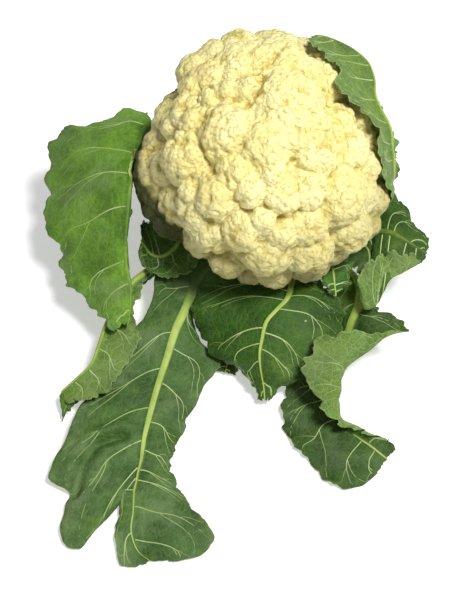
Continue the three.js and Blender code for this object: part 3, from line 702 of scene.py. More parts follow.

# Each leaf: foot gives the bearing, height and width where it leaves the stalk, thick the
# height of its midrib there, and rows and strips how finely it is drawn. Its margin ruffles
# in waves, is cut into teeth tooth deep, and frayed into finer ones. cup bows each half, and
# bloom is the share of wax on its upper face. Each station gives points across the leaf:
# left margin, midrib and right margin, with extra points where it folds. Some leaves also
# have: midrib, the midrib's place in a station; stem, how pale and stout the midrib stays;
# painted_rib_shade, how far along the leaf the pale midrib is painted the blade's green as
# painted shade at its foot; net, how plain the fine veins are; under, the colours of its
# underside; and creases, their depth and points.
LEAVES = {
    # The longest leaf, lying forward and left with its blade flat on the surface.
    "leaf_long": dict(
        foot=(240, 16, 20), thick=8, rows=315, strips=20,
        ruffle=2, waves=6, tooth=3, teeth=13, phase=0, cup=0.05, veins=11,
        dark="#325021", light="#4F7036", fray=1.2, bloom=0.5,
        # Its midrib's foot is painted the blade's green, as painted shade.
        painted_rib_shade=0.12, creases=[(5, [(-106, -189), (-125, -196), (-134, -211), (-139, -231)])],
        stations=[
            [(-62, -38, 31), (-47, -47, 28), (-37, -58, 24)],
            [(-84, -55, 34), (-56, -70, 30), (-45, -77, 25)],
            [(-87, -74, 31), (-61, -87, 30), (-56, -92, 22)],
            [(-97, -94, 24), (-68, -103, 27), (-48, -108, 17)],
            [(-117, -123, 17), (-75, -127, 21), (-33, -124, 11)],
            [(-135, -153, 13), (-82, -152, 17), (-46, -148, 9)],
            [(-146, -182, 12), (-87, -174, 14), (-57, -171, 6)],
            [(-160, -219, 11), (-90, -188, 12), (-62, -187, 7)],
            [(-145, -233, 3), (-91, -198, 11), (-66, -199, 8)],
            [(-148, -262, 3), (-92, -207, 10), (-68, -208, 8)],
            [(-134, -274, 3), (-94, -216, 9), (-68, -216, 7)],
            [(-120, -250, 5), (-95, -224, 8), (-63, -226, 7)],
            [(-112, -227, 8), (-96, -232, 8), (-57, -235, 6)],
            [(-108, -246, 6), (-96, -246, 7), (-49, -247, 6)],
            [(-110, -266, 3), (-97, -260, 5), (-38, -261, 5)],
            [(-106, -284, 2), (-92, -274, 3), (-44, -276, 3)],
            [(-92, -286, 2), (-82, -282, 2), (-66, -282, 2)],
        ],
    ),
    # A broad leaf arching over the front and hanging down to a point.
    "leaf_front": dict(
        foot=(285, 34, 16), thick=6, rows=225, strips=22,
        ruffle=2.5, waves=5, tooth=4, teeth=9, phase=1, cup=0.06, veins=7,
        dark="#224409", light="#365E12", fray=2.2, bloom=0.12,
        stations=[
            [(6, -45, 43), (22, -54, 46), (29, -52, 45)],
            [(-24, -56, 40), (19, -80, 47), (43, -70, 43)],
            [(-50, -60, 36), (16, -91, 48), (54, -78, 40)],
            [(-56, -80, 32), (8, -100, 47), (62, -94, 37)],
            [(-58, -95, 27), (0, -109, 44), (59, -109, 34)],
            [(-51, -110, 22), (-3, -119, 38), (48, -126, 30)],
            [(-38, -125, 17), (-5, -130, 32), (34, -138, 24)],
            [(-21, -133, 13), (-4, -139, 24), (23, -147, 18)],
            [(-11, -147, 11), (-2, -148, 16), (12, -149, 13)],
            [(-6, -157, 8), (-1, -158, 9), (3, -156, 9)],
        ],
    ),
    # A leaf lying forward and right, its outer half turned back over the midrib.
    "leaf_right_low": dict(
        foot=(322, 16, 18), thick=7, rows=285, strips=20,
        ruffle=2, waves=7, tooth=3, teeth=12, phase=2, cup=0, veins=8,
        dark="#223E10", light="#3A5A20", fray=1.9, bloom=0.22, stem=0.9,
        stations=[
            [(52, -45, 27), (62, -46, 30), (66, -50, 29), (68, -53, 28)],
            [(54, -62, 29), (72, -70, 37), (77, -73, 38), (80, -74, 38)],
            [(52, -80, 26), (70, -88, 37), (77, -90, 38), (84, -91, 40)],
            [(48, -97, 21), (64, -102, 33), (79, -103, 41), (96, -102, 47)],
            [(37, -110, 13), (60, -116, 26), (83, -119, 43), (109, -116, 46)],
            [(26, -123, 9), (56, -129, 20), (79, -132, 44), (85, -121, 52)],
            [(15, -137, 6), (53, -141, 16), (62, -142, 44), (61, -117, 52)],
            [(11, -151, 5), (52, -153, 12), (55, -148, 42), (38, -121, 48)],
            [(9, -164, 4), (53, -162, 10), (52, -157, 37), (24, -138, 42)],
            [(11, -179, 3), (54, -171, 8), (49, -167, 28), (26, -160, 35)],
            [(20, -194, 3), (60, -179, 7), (54, -178, 20), (38, -179, 27)],
            [(32, -210, 3), (67, -186, 6), (68, -181, 14), (54, -187, 18)],
            [(44, -225, 2), (75, -192, 5), (78, -186, 10), (71, -187, 12)],
            [(64, -226, 2), (82, -198, 4), (89, -189, 5), (86, -187, 8)],
            [(82, -212, 2), (88, -203, 3), (94, -196, 3), (96, -193, 4)],
        ],
    ),
    # A short broad leaf at the right, its near half turned up and back.
    "leaf_right": dict(
        foot=(342, 34, 14), thick=5, midrib=2, rows=195, strips=22,
        ruffle=2, waves=5, tooth=2.5, teeth=9, phase=3, cup=0, veins=6,
        dark="#233F0E", light="#36591D", fray=2.0, bloom=0.15, stem=0.25,
        stations=[
            [(62, -50, 44), (64, -36, 46), (62, -19, 48), (62, -2, 46)],
            [(68, -72, 48), (82, -50, 49), (82, -26, 52), (82, -6, 48)],
            [(68, -86, 55), (74, -94, 48), (88, -31, 56), (88, 9, 51)],
            [(68, -79, 60), (81, -99, 50), (95, -34, 59), (99, 15, 53)],
            [(75, -67, 64), (86, -90, 50), (101, -38, 60), (108, 3, 54)],
            [(85, -58, 65), (93, -76, 50), (108, -43, 59), (115, -15, 53)],
            [(99, -56, 65), (106, -68, 52), (116, -48, 57), (125, -30, 52)],
            [(115, -57, 61), (121, -60, 55), (125, -53, 54), (127, -47, 52)],
        ],
    ),
    # The tall leaf at the left, folded down along its midrib.
    "leaf_left": dict(
        foot=(165, 34, 20), thick=7, rows=270, strips=26,
        ruffle=3, waves=6, tooth=7, teeth=12, phase=4, cup=0.06, veins=9,
        dark="#42691A", light="#6E9C30", net=1.1, fray=4.0, bloom=0.42, stem=0.1,
        stations=[
            [(-60, 30, 52), (-58, 24, 53), (-56, 18, 51)],
            [(-86, 56, 76), (-84, 44, 78), (-82, 36, 70)],
            [(-101, 64, 92), (-90, 46, 96), (-90, 40, 78)],
            [(-132, 55, 86), (-95, 26, 101), (-97, 24, 76)],
            [(-166, 60, 76), (-98, 2, 104), (-103, 4, 78)],
            [(-175, 34, 60), (-101, -19, 102), (-107, -14, 76)],
            [(-177, -1, 50), (-103, -37, 93), (-108, -32, 68)],
            [(-167, -36, 42), (-105, -54, 78), (-108, -50, 58)],
            [(-161, -61, 36), (-105, -69, 65), (-107, -66, 48)],
            [(-143, -80, 35), (-102, -84, 55), (-104, -82, 42)],
            [(-128, -103, 35), (-102, -97, 46), (-103, -95, 39)],
            [(-115, -113, 36), (-104, -111, 40), (-103, -108, 38)],
        ],
    ),
    # A leaf below that one, turned over so that its underside shows.
    "leaf_left_low": dict(
        foot=(202, 24, 16), thick=6, rows=225, strips=17,
        ruffle=1.5, waves=6, tooth=2.5, teeth=11, phase=5, cup=0, veins=9,
        dark="#2F5514", light="#497425", fray=2.5, bloom=0.3,
        stations=[
            [(-60, -24, 27), (-63, -31, 28), (-62, -38, 25)],
            [(-89, -57, 31), (-92, -54, 32), (-90, -54, 22)],
            [(-96, -78, 33), (-106, -68, 30), (-103, -66, 18)],
            [(-98, -100, 34), (-117, -90, 28), (-112, -92, 13)],
            [(-93, -119, 35), (-122, -104, 28), (-117, -106, 9)],
            [(-101, -135, 32), (-126, -120, 27), (-121, -122, 7)],
            [(-110, -153, 28), (-131, -136, 26), (-128, -138, 5)],
            [(-122, -161, 23), (-142, -146, 22), (-138, -152, 5)],
            [(-138, -163, 17), (-151, -152, 17), (-147, -163, 4)],
            [(-149, -161, 12), (-155, -154, 12), (-153, -173, 4)],
        ],
    ),
    # The leaf that wraps the right shoulder of the head up to the crown.
    "leaf_crown": dict(
        foot=(12, 42, 16), thick=5, rows=285, strips=17,
        ruffle=1.5, waves=7, tooth=3, teeth=14, phase=6, cup=0, veins=12,
        dark="#456D1C", light="#729B42", fray=2.8, bloom=0.2,
        stations=[
            [(60, 4, 52), (60, 12, 52), (58, 20, 52)],
            [(86, -14, 64), (91, 0, 65), (95, 10, 64)],
            [(88, -34, 96), (97, -2, 84), (104, 6, 80)],
            [(83, -36, 124), (95, -6, 108), (101, 2, 102)],
            [(80, -28, 142), (92, -3, 124), (99, 6, 116)],
            [(77, -16, 153), (90, 1, 137), (93, 13, 124)],
            [(69, -10, 164), (82, 8, 150), (87, 24, 130)],
            [(55, -8, 176), (79, 20, 152), (82, 36, 130)],
            [(48, 0, 182), (79, 34, 154), (78, 48, 130)],
            [(48, 20, 181), (75, 44, 160), (69, 60, 138)],
            [(43, 24, 183), (66, 50, 166), (62, 66, 142)],
            [(37, 28, 186), (55, 56, 169), (51, 70, 150)],
            [(32, 38, 185), (44, 58, 173), (41, 67, 161)],
            [(29, 48, 182), (34, 55, 178), (35, 60, 172)],
        ],
    ),
    # Small leaves close against the head.
    "leaf_left_small": dict(
        foot=(200, 44, 12), thick=4, rows=135, strips=15,
        ruffle=2, waves=4, tooth=2.5, teeth=7, phase=8, cup=0.06, veins=6,
        dark="#24470C", light="#3A6616", fray=2.6, bloom=0.1, under=("#2C520C", "#4A7818"),
        stations=[
            [(-46, -40, 46), (-56, -20, 50), (-55, -12, 49)],
            [(-53, -60, 44), (-70, -43, 49), (-74, -14, 50)],
            [(-67, -68, 43), (-80, -50, 47), (-84, -16, 50)],
            [(-85, -66, 41), (-88, -48, 47), (-91, -15, 50)],
            [(-97, -53, 41), (-93, -40, 47), (-96, -16, 51)],
            [(-99, -41, 45), (-97, -34, 48), (-94, -27, 52)],
        ],
    ),
    "leaf_right_curl": dict(
        foot=(305, 50, 10), thick=3.5, rows=135, strips=15,
        ruffle=3, waves=4, tooth=2, teeth=7, phase=9, cup=0.06, veins=6,
        dark="#2A5012", light="#487426", fray=2.6, bloom=0.1,
        stations=[
            [(34, -44, 53), (37, -42, 54), (40, -38, 53)],
            [(43, -58, 54), (49, -55, 56), (59, -50, 54)],
            [(40, -69, 53), (51, -68, 55), (67, -59, 54)],
            [(42, -79, 50), (52, -80, 52), (66, -70, 50)],
            [(48, -86, 46), (53, -88, 46), (59, -81, 46)],
        ],
    ),
    "leaf_front_low": dict(
        foot=(262, 6, 14), thick=4, rows=120, strips=14,
        ruffle=1.5, waves=4, tooth=2.5, teeth=8, phase=10, cup=0.06, veins=6,
        dark="#253F12", light="#3A5A20", fray=1.5, bloom=0.2,
        stations=[
            [(-24, -60, 9), (-14, -62, 10), (-6, -62, 9)],
            [(-36, -90, 7), (-20, -95, 9), (-6, -94, 7)],
            [(-42, -112, 5), (-28, -117, 7), (-14, -118, 5)],
            [(-38, -127, 3), (-31, -130, 4), (-23, -131, 3)],
        ],
    ),
    # Leaves behind the head.
    "leaf_back": dict(
        foot=(92, 12, 20), thick=7, rows=225, strips=20,
        ruffle=3, waves=5, tooth=3, teeth=10, phase=11, cup=0.06, veins=10,
        dark="#2F5218", light="#4A702A", fray=1.5, bloom=0.3,
        stations=[
            [(12, 60, 20), (-2, 60, 22), (-16, 60, 20)],
            [(44, 92, 22), (0, 96, 30), (-44, 92, 22)],
            [(64, 132, 14), (2, 136, 26), (-60, 130, 14)],
            [(66, 172, 6), (4, 178, 16), (-58, 172, 6)],
            [(44, 206, 3), (6, 212, 8), (-34, 208, 3)],
            [(18, 226, 2), (8, 230, 3), (-6, 228, 2)],
        ],
    ),
    "leaf_back_left": dict(
        foot=(128, 40, 16), thick=6, rows=165, strips=17,
        ruffle=2.5, waves=5, tooth=3, teeth=9, phase=12, cup=0.06, veins=8,
        dark="#2F5218", light="#4A702A", fray=1.5, bloom=0.25,
        stations=[
            [(-28, 50, 48), (-36, 48, 49), (-42, 42, 48)],
            [(-32, 88, 62), (-56, 80, 64), (-72, 62, 60)],
            [(-36, 104, 76), (-66, 88, 78), (-84, 66, 72)],
            [(-52, 98, 88), (-74, 80, 90), (-86, 64, 84)],
            [(-70, 82, 96), (-77, 74, 96), (-83, 66, 93)],
        ],
    ),
    "leaf_back_right": dict(
        foot=(48, 26, 18), thick=6, rows=180, strips=17,
        ruffle=3, waves=5, tooth=3, teeth=10, phase=13, cup=0.06, veins=8,
        dark="#2F5218", light="#4A702A", fray=1.5, bloom=0.3,
        stations=[
            [(42, 36, 36), (38, 42, 37), (32, 48, 36)],
            [(84, 60, 44), (66, 78, 50), (44, 92, 44)],
            [(98, 86, 48), (76, 106, 56), (50, 122, 48)],
            [(100, 112, 42), (80, 130, 50), (60, 144, 42)],
            [(92, 136, 32), (82, 146, 36), (74, 154, 32)],
            [(86, 150, 26), (82, 154, 27), (79, 156, 26)],
        ],
    ),
}


def read_curves(points, t):
    """Smooth curves through points[:, k], each read at its own t[k]; both run from 0 to 1."""
    first, last = 2 * points[:1] - points[1:2], 2 * points[-1:] - points[-2:-1]
    points = np.concatenate([first, points, last])
    spans = len(points) - 3
    p = np.clip(t, 0, 1) * spans
    i = np.minimum(p.astype(int), spans - 1)
    w = (p - i)[..., None]
    k = np.arange(points.shape[1])[:, None]
    a, b, c, d = (points[i + step, k] for step in range(4))
    m, n = (c - a) / 2, (d - b) / 2
    return b + w * (m + w * (3 * (c - b) - 2 * m - n + w * (2 * (b - c) + m + n)))


def foot_station(bearing, height, width, shares):
    """The first station of a leaf, curved round the stalk."""
    spread = math.degrees(width / 2 / (STALK_RADIUS + 1))
    turn = np.radians(bearing + spread * shares)
    reach = STALK_RADIUS + 0.2
    return np.stack([np.cos(turn) * reach, np.sin(turn) * reach, height + 2 * abs(shares)], -1)


def notch(s, teeth, phase):
    """A margin nicked into uneven teeth, from 0 at a tooth to 1 in a notch."""
    slow = np.sin(s * teeth * 2.1 + phase * 2)
    return 0.5 - 0.3 * np.cos(s * teeth * math.pi * 2 + phase + slow) - 0.2 * slow


def facing(grid):
    """Unit normals of a grid of points, toward the leaf's upper face."""
    along = np.empty_like(grid)
    along[1:-1] = grid[2:] - grid[:-2]
    along[0], along[-1] = grid[1] - grid[0], grid[-1] - grid[-2]
    across = np.empty_like(grid)
    across[:, 1:-1] = grid[:, 2:] - grid[:, :-2]
    across[:, 0], across[:, -1] = grid[:, 1] - grid[:, 0], grid[:, -1] - grid[:, -2]
    normal = np.cross(along, across)
    return normal / np.maximum(np.linalg.norm(normal, axis=-1), 1e-9)[..., None]


def florets_near(directions):
    """How far the florets reach in and around each direction, so a blade lies over them."""
    side = np.stack([-directions[:, 1], directions[:, 0], np.zeros(len(directions))], 1)
    side /= np.linalg.norm(side, axis=1)[:, None]
    over = np.cross(directions, side)
    floor = egg_radius(directions) - CORE_DEPTH
    reach = outermost(directions, floret_centres, floret_radii, floor)
    for k in range(6):
        turn = k * math.pi / 3
        near = directions + FEELER * (math.cos(turn) * side + math.sin(turn) * over)
        near /= np.linalg.norm(near, axis=1)[:, None]
        reach = np.maximum(reach, outermost(near, floret_centres, floret_radii, floor))
    return reach


def bend_clear(grid, above, below):
    """Pushes a blade out of the head, down below its underside, and off the surface."""
    local = lean(grid - HEAD_CENTRE, -1)
    reach = np.linalg.norm(local, axis=-1)
    local = local / reach[..., None]
    angle = np.degrees(np.arccos(local[..., 2]))
    close = (angle < OVER_HEAD) & (reach < egg_radius(local) + NEAR_HEAD)
    least = np.zeros(reach.shape)
    least[close] = florets_near(local[close]) + HEAD_CLEARANCE + above[close]
    scale = np.where(close & (reach < least), least / reach, 1)
    grid = HEAD_CENTRE + (grid - HEAD_CENTRE) * scale[..., None]
    out = np.hypot(grid[..., 0], grid[..., 1])
    lowest = np.maximum(underside_height(grid[..., 0], grid[..., 1]) - 2 - above, STALK_TOP - 6)
    beneath = (angle >= UNDER_HEAD) & (out < UNDER_RADIUS)
    z = np.where(beneath, np.minimum(grid[..., 2], lowest), grid[..., 2])
    z = np.maximum(z, below + SURFACE_CLEARANCE)
    return np.concatenate([grid[..., :2], z[..., None]], -1)


def vein_lane(leaf, s, v, side):
    """Whole numbers along the side veins, which leave the midrib and arch to the tip."""
    run = s - leaf["sweep"] * (0.25 * v + 0.75 * v * v)
    return leaf["veins"] * run + 0.22 * np.sin(run * 19 + leaf["phase"]) + 0.3 * side


def margin_bite(leaf, s, side):
    """How deep the margin is cut along a leaf: teeth, and finer teeth in them."""
    teeth, phase = leaf["teeth"], leaf["phase"]
    bite = leaf["tooth"] * notch(s, teeth, phase + side)
    bite += leaf["fray"] * notch(s, teeth * 2.3, phase + 2 * side) ** 2
    bite += 0.4 * leaf["fray"] * notch(s, teeth * 5.3, phase + 4 * side) ** 2
    return bite


def half_blade(leaf, side, s, outward, full):
    """One side of a blade: its points, their share across it, their lift, and the rib's share."""
    phase = leaf["phase"]
    length = np.linalg.norm(outward[1] - outward[0], axis=1)
    # The midrib narrows from its foot to its tip, and has points of its own on its flank.
    rib_half = leaf["foot"][2] * 0.3 * (1 - np.sqrt(s)) + RIB_TIP * np.sqrt(s)
    first = np.minimum(0.5, rib_half / np.maximum(length, 0.1))[:, None]
    steps = np.concatenate([[0.35, 0.62, 0.84], np.linspace(1, 2, leaf["strips"] + 1)])
    v = np.where(steps <= 1, first * steps, first + (1 - first) * (steps - 1))
    bite = margin_bite(leaf, s, side) / np.maximum(length, 8) * full
    place = read_curves(np.stack(outward), v * (1 - bite[:, None] * v * v))
    # Each half is cupped, and it waves more and more toward its margin.
    swell = leaf["cup"] * np.minimum(length, 40)[:, None] * np.sin(math.pi * v)
    wave = np.sin(s * leaf["waves"] * math.pi * 2 + phase + side * 1.3)[:, None]
    frill = np.sin(s * leaf["waves"] * 17 + phase * 3 + side)[:, None]
    lift = swell + leaf["ruffle"] * wave * v ** 3 + 0.4 * leaf["fray"] * frill * v ** 6
    lift = lift * full[:, None]
    # A crease is a valley with a low ridge along either side.
    for depth, line in leaf.get("creases", []):
        away = distance_to(np.array(line, dtype=float), place[..., :2])
        lift = lift - depth * (np.exp(-(away / 3.5) ** 2) - 0.6 * np.exp(-(away / 4 - 2) ** 2))
    # The blade swells between its side veins.
    lane = vein_lane(leaf, s[:, None], v, side)
    bulge = np.abs(np.sin(math.pi * lane)) ** 0.8 * np.clip(v / first - 1, 0, 1)
    lift = lift + leaf["pucker"] * bulge * (1 - 0.6 * v) * full[:, None]
    return place, v, lift, first * np.ones_like(v)


def toothed_tip(leaf, grid, s):
    """Draws the last rows of a blade back by uneven amounts, so that its end is toothed."""
    across = np.linspace(0, 1, grid.shape[1])
    notches = notch(across, 3.3, leaf["phase"]) + notch(across, 9.1, leaf["phase"] + 1) ** 2
    cut = (1 + leaf["fray"]) * notches / leaf["run"]
    for k in range(grid.shape[1]):
        kept = s * (1 - cut[k] * s ** 12)
        for axis in range(3):
            grid[:, k, axis] = np.interp(kept, s, grid[:, k, axis])
    return grid


def leaf_sheet(leaf):
    """The blade's middle surface as a grid, the share across it (v), and its thickness."""
    stations = np.array(leaf["stations"], dtype=float)
    width = stations.shape[1]
    middle = leaf.get("midrib", 1)
    shares = np.arange(width) - middle
    shares = np.where(shares < 0, shares / middle, shares / (width - 1 - middle))
    net = np.concatenate([foot_station(*leaf["foot"], shares)[None], stations])
    s = np.linspace(0, 1, leaf["rows"] + 1)
    marks = read_curves(net, np.tile(s, (width, 1))).transpose(1, 0, 2)
    rib = marks[:, middle]
    leaf = {**leaf, "run": np.linalg.norm(np.diff(rib, axis=0), axis=1).sum()}
    # Teeth, waves and swelling fade out at the foot and at the tip.
    full = np.clip((s - 0.12) * 8, 0, 1) * np.clip((1 - s) * 12, 0, 1)
    leftward = [marks[:, k] for k in range(middle, -1, -1)]
    rightward = [marks[:, k] for k in range(middle, width)]
    left = [part[:, ::-1] for part in half_blade(leaf, -1, s, leftward, full)]
    right = half_blade(leaf, 1, s, rightward, full)
    zero = np.zeros((len(s), 1))
    grid = np.concatenate([left[0], rib[:, None], right[0]], 1)
    v = np.concatenate([-left[1], zero, right[1]], 1)
    lift = np.concatenate([left[2], zero, right[2]], 1)
    first = np.concatenate([left[3], right[3][:, :1], right[3]], 1)
    grid = toothed_tip(leaf, grid, s)
    grid = grid + facing(grid) * lift[..., None]
    # The midrib is a rounded ridge that tapers; its pale colour ends before it does.
    near = np.clip(1 - (np.abs(v) / first) ** 2, 0, 1) ** 0.7
    slight = 1 - 0.7 * (1 - leaf.get("stem", 1.0)) * np.clip((s - 0.15) * 8, 0, 1)
    tall = leaf["thick"] + (RIB_TIP - leaf["thick"]) * s ** 0.6
    depth = (tall * slight)[:, None] * near
    above, below = BLADE / 2 + depth * (1 - RIB_BELOW), BLADE / 2 + depth * RIB_BELOW
    pale = np.clip((1.02 - 0.45 * s[:, None] - np.abs(v) / first) * 5, 0, 1)
    # Near the foot the pale midrib gives way to the blade's green, as painted shade.
    pale = pale * np.clip((s[:, None] - leaf.get("painted_rib_shade", -1)) * 16, 0.1, 1)
    grid = bend_clear(grid, above, below)
    return {"grid": grid, "v": v, "rib": pale, "above": above, "below": below}


def off_stalk(points):
    """Keeps points of a leaf's foot just outside the stalk, and all of it off the surface."""
    out = np.hypot(points[..., 0], points[..., 1])
    least = STALK_RADIUS + GAP + 0.15
    scale = np.where((points[..., 2] < STALK_TOP + 4) & (out < least), least / out, 1)
    flat = points[..., :2] * scale[..., None]
    return np.concatenate([flat, np.maximum(points[..., 2:], 0.3)], -1)


def sheet_faces(rows, columns):
    """Both faces of a closed sheet and the walls round its edge."""
    i, j = np.meshgrid(np.arange(rows - 1), np.arange(columns - 1), indexing="ij")
    a = (i * columns + j).ravel()
    upper = np.stack([a, a + columns, a + columns + 1, a + 1], -1)
    total = rows * columns
    under = upper[:, ::-1] + total
    i, j = np.arange(rows - 1), np.arange(columns - 1)
    left, right = i * columns, (i + 1) * columns - 1
    foot, tip = j, (rows - 1) * columns + j
    walls = np.concatenate([
        np.stack([left, left + total, left + columns + total, left + columns], -1),
        np.stack([right + columns, right + columns + total, right + total, right], -1),
        np.stack([foot + 1, foot + 1 + total, foot + total, foot], -1),
        np.stack([tip, tip + total, tip + 1 + total, tip + 1], -1),
    ])
    return upper, np.concatenate([under, walls])


def vein_lines(leaf, sheet):
    """Lines on the blade for the side veins and their forks: points with a thickness."""
    dense = np.linspace(0.02, 0.99, 400)
    rows = len(sheet["grid"]) - 1
    lines = []

    def spot(s, v):
        """The point of the sheet at a share along it and across it."""
        row = s * rows
        low = min(int(row), rows - 1)
        found = []
        for i in (low, low + 1):
            ends = sheet["grid"][i].T
            found.append([np.interp(v, sheet["v"][i], end) for end in ends])
        share = row - low
        return np.array(found[0]) * (1 - share) + np.array(found[1]) * share

    def draw(side, lanes, shares, thickness):
        """Adds the line that runs along these lanes, where it stays on the blade."""
        line = []
        for lane, v, radius in zip(lanes, shares, thickness):
            s = np.interp(lane, vein_lane(leaf, dense, v, side), dense)
            if 0.1 < s < 0.97:
                line.append((*spot(s, side * v), radius))
        if len(line) > 2:
            lines.append(line)

    random = random_source(40 + leaf["phase"])
    for side in (-1, 1):
        for lane in range(-2, leaf["veins"] + 3):
            main = np.linspace(0.03, 0.84 + 0.12 * next(random), 15)
            wander = 0.12 * np.sin(main * 8 + 6 * next(random)) * main + 0.3 * next(random)
            draw(side, lane + wander, main, np.linspace(*VEIN_RADII, 15))
            # Each side vein forks once toward the tip, and a thinner branch leaves it again.
            for least, more, drift, thick in FORKS:
                start = least + more * next(random)
                shares = np.linspace(start, min(0.95, start + 0.5), 9)
                step = (shares - start) / (0.95 - start)
                here = lane + np.interp(shares, main, wander) + drift * step ** 0.85
                draw(side, here, shares, np.linspace(thick, FORK_END, 9))
    return lines


def vein_tree(upper, under, vein):
    """Gives loose edges of a leaf the thickness of veins, and dresses each part."""
    kit, given, sockets = started_tree("veins", "Leaf", {"Vein Scale": 1.0, "Vein Sides": 6})

    def named(name):
        """A number stored on the leaf."""
        return kit.node("GeometryNodeInputNamedAttribute", {"data_type": "FLOAT"}, {"Name": name})

    lines = kit.maths("GREATER_THAN", named("thickness"), 0.0)
    split = kit.node(
        "GeometryNodeSeparateGeometry", {"domain": "POINT"},
        {"Geometry": given["Leaf"], "Selection": lines},
    )
    blade = Wire(kit, split.socket.node.outputs[1])
    curves = kit.node("GeometryNodeMeshToCurve", {}, {"Mesh": split})
    ring = kit.node(
        "GeometryNodeCurvePrimitiveCircle", {},
        {"Resolution": given["Vein Sides"], "Radius": 1.0},
    )
    tubes = kit.node(
        "GeometryNodeCurveToMesh", {},
        {
            "Curve": curves, "Profile Curve": ring, "Fill Caps": True,
            "Scale": named("thickness") * given["Vein Scale"],
        },
    )
    marked = kit.node(
        "GeometryNodeStoreNamedAttribute", {"data_type": "FLOAT", "domain": "FACE"},
        {"Geometry": tubes, "Name": "part", "Value": 2.0},
    )
    joined = kit.node("GeometryNodeJoinGeometry", {}, {0: blade})
    kit.tree.links.new(marked.socket, joined.socket.node.inputs[0])
    dressed = dressed_end(kit, joined, upper)
    for number, material in ((1, under), (2, vein)):
        chosen = kit.maths("COMPARE", named("part"), float(number), 0.1)
        dressed = kit.node(
            "GeometryNodeSetMaterial", {},
            {"Geometry": dressed, "Selection": chosen, "Material": material},
        )
    tree_output(kit, dressed)
    return kit.tree, sockets


def blade_material(name, dark, light, net, net_share, bloom, veil, shine, stem_share):
    """One face of a leaf: mottled green, a fine net of veins and a waxy bloom."""
    made, kit, shader = finish(
        name, shine, Subsurface_Weight=0.12, Subsurface_Scale=0.001,
        Subsurface_Radius=(0.6, 1.0, 0.2), Specular_IOR_Level=0.22,
    )
    rib = kit.attribute("rib")
    margin = kit.attribute("share")
    mottle = kit.between(kit.noise(30, 6, 0.7), 0.36, 0.64)
    green = kit.mix(mottle, colour(dark), colour(light))
    warm = kit.between(kit.noise(17, 4, 0.65), 0.53, 0.66) * kit.between(margin, 0.95, 0.6)
    green = kit.mix(warm * 0.4, green, kit.mix(0.5, colour(light), colour("#86A21C")))
    crumple = kit.between(kit.noise(230, 3, 0.65), 0.44, 0.62)
    green = kit.mix(crumple * 0.35, green, colour(dark))
    coarse = kit.cells(150, "DISTANCE_TO_EDGE")
    fine = kit.cells(430, "DISTANCE_TO_EDGE")
    lines = kit.maths(
        "MAXIMUM", kit.between(coarse, 0.045, 0.015) * 0.3, kit.between(fine, 0.1, 0.03) * 0.14,
    )
    green = kit.mix(lines * net_share, green, net)
    # Wax greys the blade in patches, and most toward its margin.
    cloud = kit.between(kit.noise(26, 5, 0.65) + margin * 0.12, 0.5, 0.72)
    green = kit.mix(cloud * bloom, green, veil)
    green = kit.mix(kit.between(margin, 0.96, 1.0) * 0.3, green, net)
    speck = kit.between(kit.cells(60), 0.055, 0.035) * kit.between(kit.noise(11, 1), 0.56, 0.62)
    green = kit.mix(speck * 0.7, green, colour("#C9C79A"))
    fibre = kit.noise(55, 3, 0.6)
    stem = kit.mix(kit.between(fibre, 0.3, 0.7), colour("#90A94A"), colour("#B0C468"))
    green = kit.mix(rib * stem_share, green, stem)
    height = kit.maths("MINIMUM", coarse * 3.0, 0.5) + kit.maths("MINIMUM", fine * 1.2, 0.25)
    height = height + kit.noise(75, 4, 0.6) * 1.6
    wire_to(
        kit, shader, Base_Color=green, Roughness=cloud * bloom * 0.3 + shine,
        Normal=kit.relief(height * (1.0 - rib), 0.5, 0.0012),
    )
    return made


def vein_material(blade):
    """Pale where a vein is stout, and fading into the blade's green as it thins."""
    made, kit, shader = finish("leaf_vein", 0.5, Specular_IOR_Level=0.35)
    tone = kit.mix(kit.between(kit.noise(40, 2), 0.35, 0.65), colour("#9CB36A"), colour("#BDCE92"))
    stout = kit.between(kit.attribute("thickness"), 0.0003, 0.00056)
    faded = kit.mix(0.5, colour(blade), colour("#8AA24C"))
    wire_to(kit, shader, Base_Color=kit.mix(stout * 0.85 + 0.12, faded, tone))
    return made


def leaf_mesh(name, leaf):
    """A leaf's blade as a closed sheet, with loose edges where its veins will run."""
    sheet = leaf_sheet(leaf)
    grid = sheet["grid"]
    normal = facing(grid)
    top = off_stalk(grid + normal * sheet["above"][..., None])
    bottom = off_stalk(grid - normal * sheet["below"][..., None])
    rows, columns = grid.shape[:2]
    points = np.concatenate([top.reshape(-1, 3), bottom.reshape(-1, 3)])
    upper, under = sheet_faces(rows, columns)
    thickness = [0.0] * len(points)
    edges = []
    extra = []
    for line in vein_lines(leaf, sheet):
        start = len(points) + len(extra)
        edges += [(start + k, start + k + 1) for k in range(len(line) - 1)]
        extra += [spot[:3] for spot in line]
        thickness += [spot[3] * MM for spot in line]
    every = np.concatenate([points, extra])
    every = np.clip(every, np.array(cad_low) / MM, np.array(cad_high) / MM)
    blade = mesh_object(name, every, np.concatenate([upper, under]), edges)
    spare = np.zeros(len(extra))
    put_attribute(blade, "thickness", thickness)
    for key, values in (("rib", sheet["rib"]), ("share", np.abs(sheet["v"]))):
        put_attribute(blade, key, np.concatenate([values.ravel(), values.ravel(), spare]))
    put_attribute(blade, "part", np.repeat([0.0, 1.0], [len(upper), len(under)]), "FACE")
    return blade


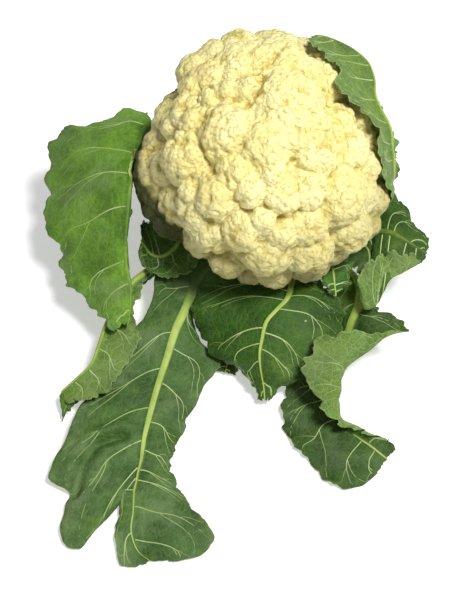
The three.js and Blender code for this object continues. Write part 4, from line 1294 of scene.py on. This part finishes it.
def make_leaf(name, leaf):
    """Builds one leaf, gives it veins and finishes, and puts it in place of its node."""
    stations = np.array(leaf["stations"], dtype=float)
    middle = leaf.get("midrib", 1)
    run = np.linalg.norm(np.diff(stations[:, middle], axis=0), axis=1).sum()
    half = np.linalg.norm(stations[:, middle - 1] - stations[:, middle], axis=1).mean()
    # The veins stand closer than their spacing along the midrib, because they slant.
    spacing = run / leaf["veins"] * 0.75
    leaf = {**leaf, "sweep": VEIN_SLANT * half / run, "pucker": min(MOST_PUCKER, spacing * PUCKER)}
    blade = leaf_mesh(name + "_blade", leaf)
    upper = blade_material(
        name + "_blade_upper", leaf["dark"], leaf["light"], colour("#8AA24C"), leaf.get("net", 0.45),
        leaf["bloom"], colour("#7C9263"), 0.58, leaf.get("stem", 1.0),
    )
    dark, light = leaf.get("under", ("#4B6825", "#67863A"))
    under = blade_material(
        name + "_blade_under", dark, light, colour("#B2C48A"), 0.9, 0.35, colour("#85985E"), 0.6,
        1.0,
    )
    tree, sockets = vein_tree(upper, under, vein_material(leaf["light"]))
    grown(blade, tree, {sockets["Vein Scale"]: 1.0})
    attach(blade, "root")
    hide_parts(name)


for name, leaf in LEAVES.items():
    make_leaf(name, leaf)


# ---- Floor, light and camera -------------------------------------------------------------
# A plain pale floor under a soft lamp high above, a little to the front and right, with a
# weak one at the left. The camera looks down at the front of the head.

corners = 4000.0 * np.array([(-1, -1, 0), (1, -1, 0), (1, 1, 0), (-1, 1, 0)])
floor = mesh_object("floor", corners, np.array([(0, 1, 2, 3)]))
paint, kit, shader = finish("floor_paint", 0.9, Specular_IOR_Level=0.1)
shader.inputs["Base Color"].default_value = (0.9, 0.9, 0.9, 1)
shader.inputs["Emission Color"].default_value = (1, 1, 1, 1)
shader.inputs["Emission Strength"].default_value = 0.4
floor.data.materials.append(paint)


def soft_light(name, place, aim, size, power):
    """A round lamp at a place, turned to aim at another."""
    lamp = bpy.data.lights.new(name, "AREA")
    lamp.shape = "DISK"
    lamp.size = size
    lamp.energy = power
    holder = bpy.data.objects.new(name, lamp)
    holder.location = place
    holder.rotation_euler = (Vector(aim) - Vector(place)).to_track_quat("-Z", "Y").to_euler()
    bpy.context.scene.collection.objects.link(holder)


soft_light("key", (0.48, -0.4, 1.5), (0, -0.02, 0.05), 0.45, 26.5)
soft_light("fill", (-1.1, -1.2, 1.2), (0, 0, 0.05), 1.6, 1.5)

world = bpy.data.worlds.new("studio")
world.use_nodes = True
world.node_tree.nodes["Background"].inputs["Color"].default_value = (1, 1, 1, 1)
world.node_tree.nodes["Background"].inputs["Strength"].default_value = 0.22
bpy.context.scene.world = world
bpy.context.scene.view_settings.view_transform = "Standard"

camera = bpy.data.cameras.new("camera")
camera.lens = 75
camera.sensor_width = 36
stand = bpy.data.objects.new("camera", camera)
stand.location = (-0.031, -0.6316, 0.8192)
stand.rotation_euler = (math.radians(35), 0, 0)
bpy.context.scene.collection.objects.link(stand)
bpy.context.scene.camera = stand
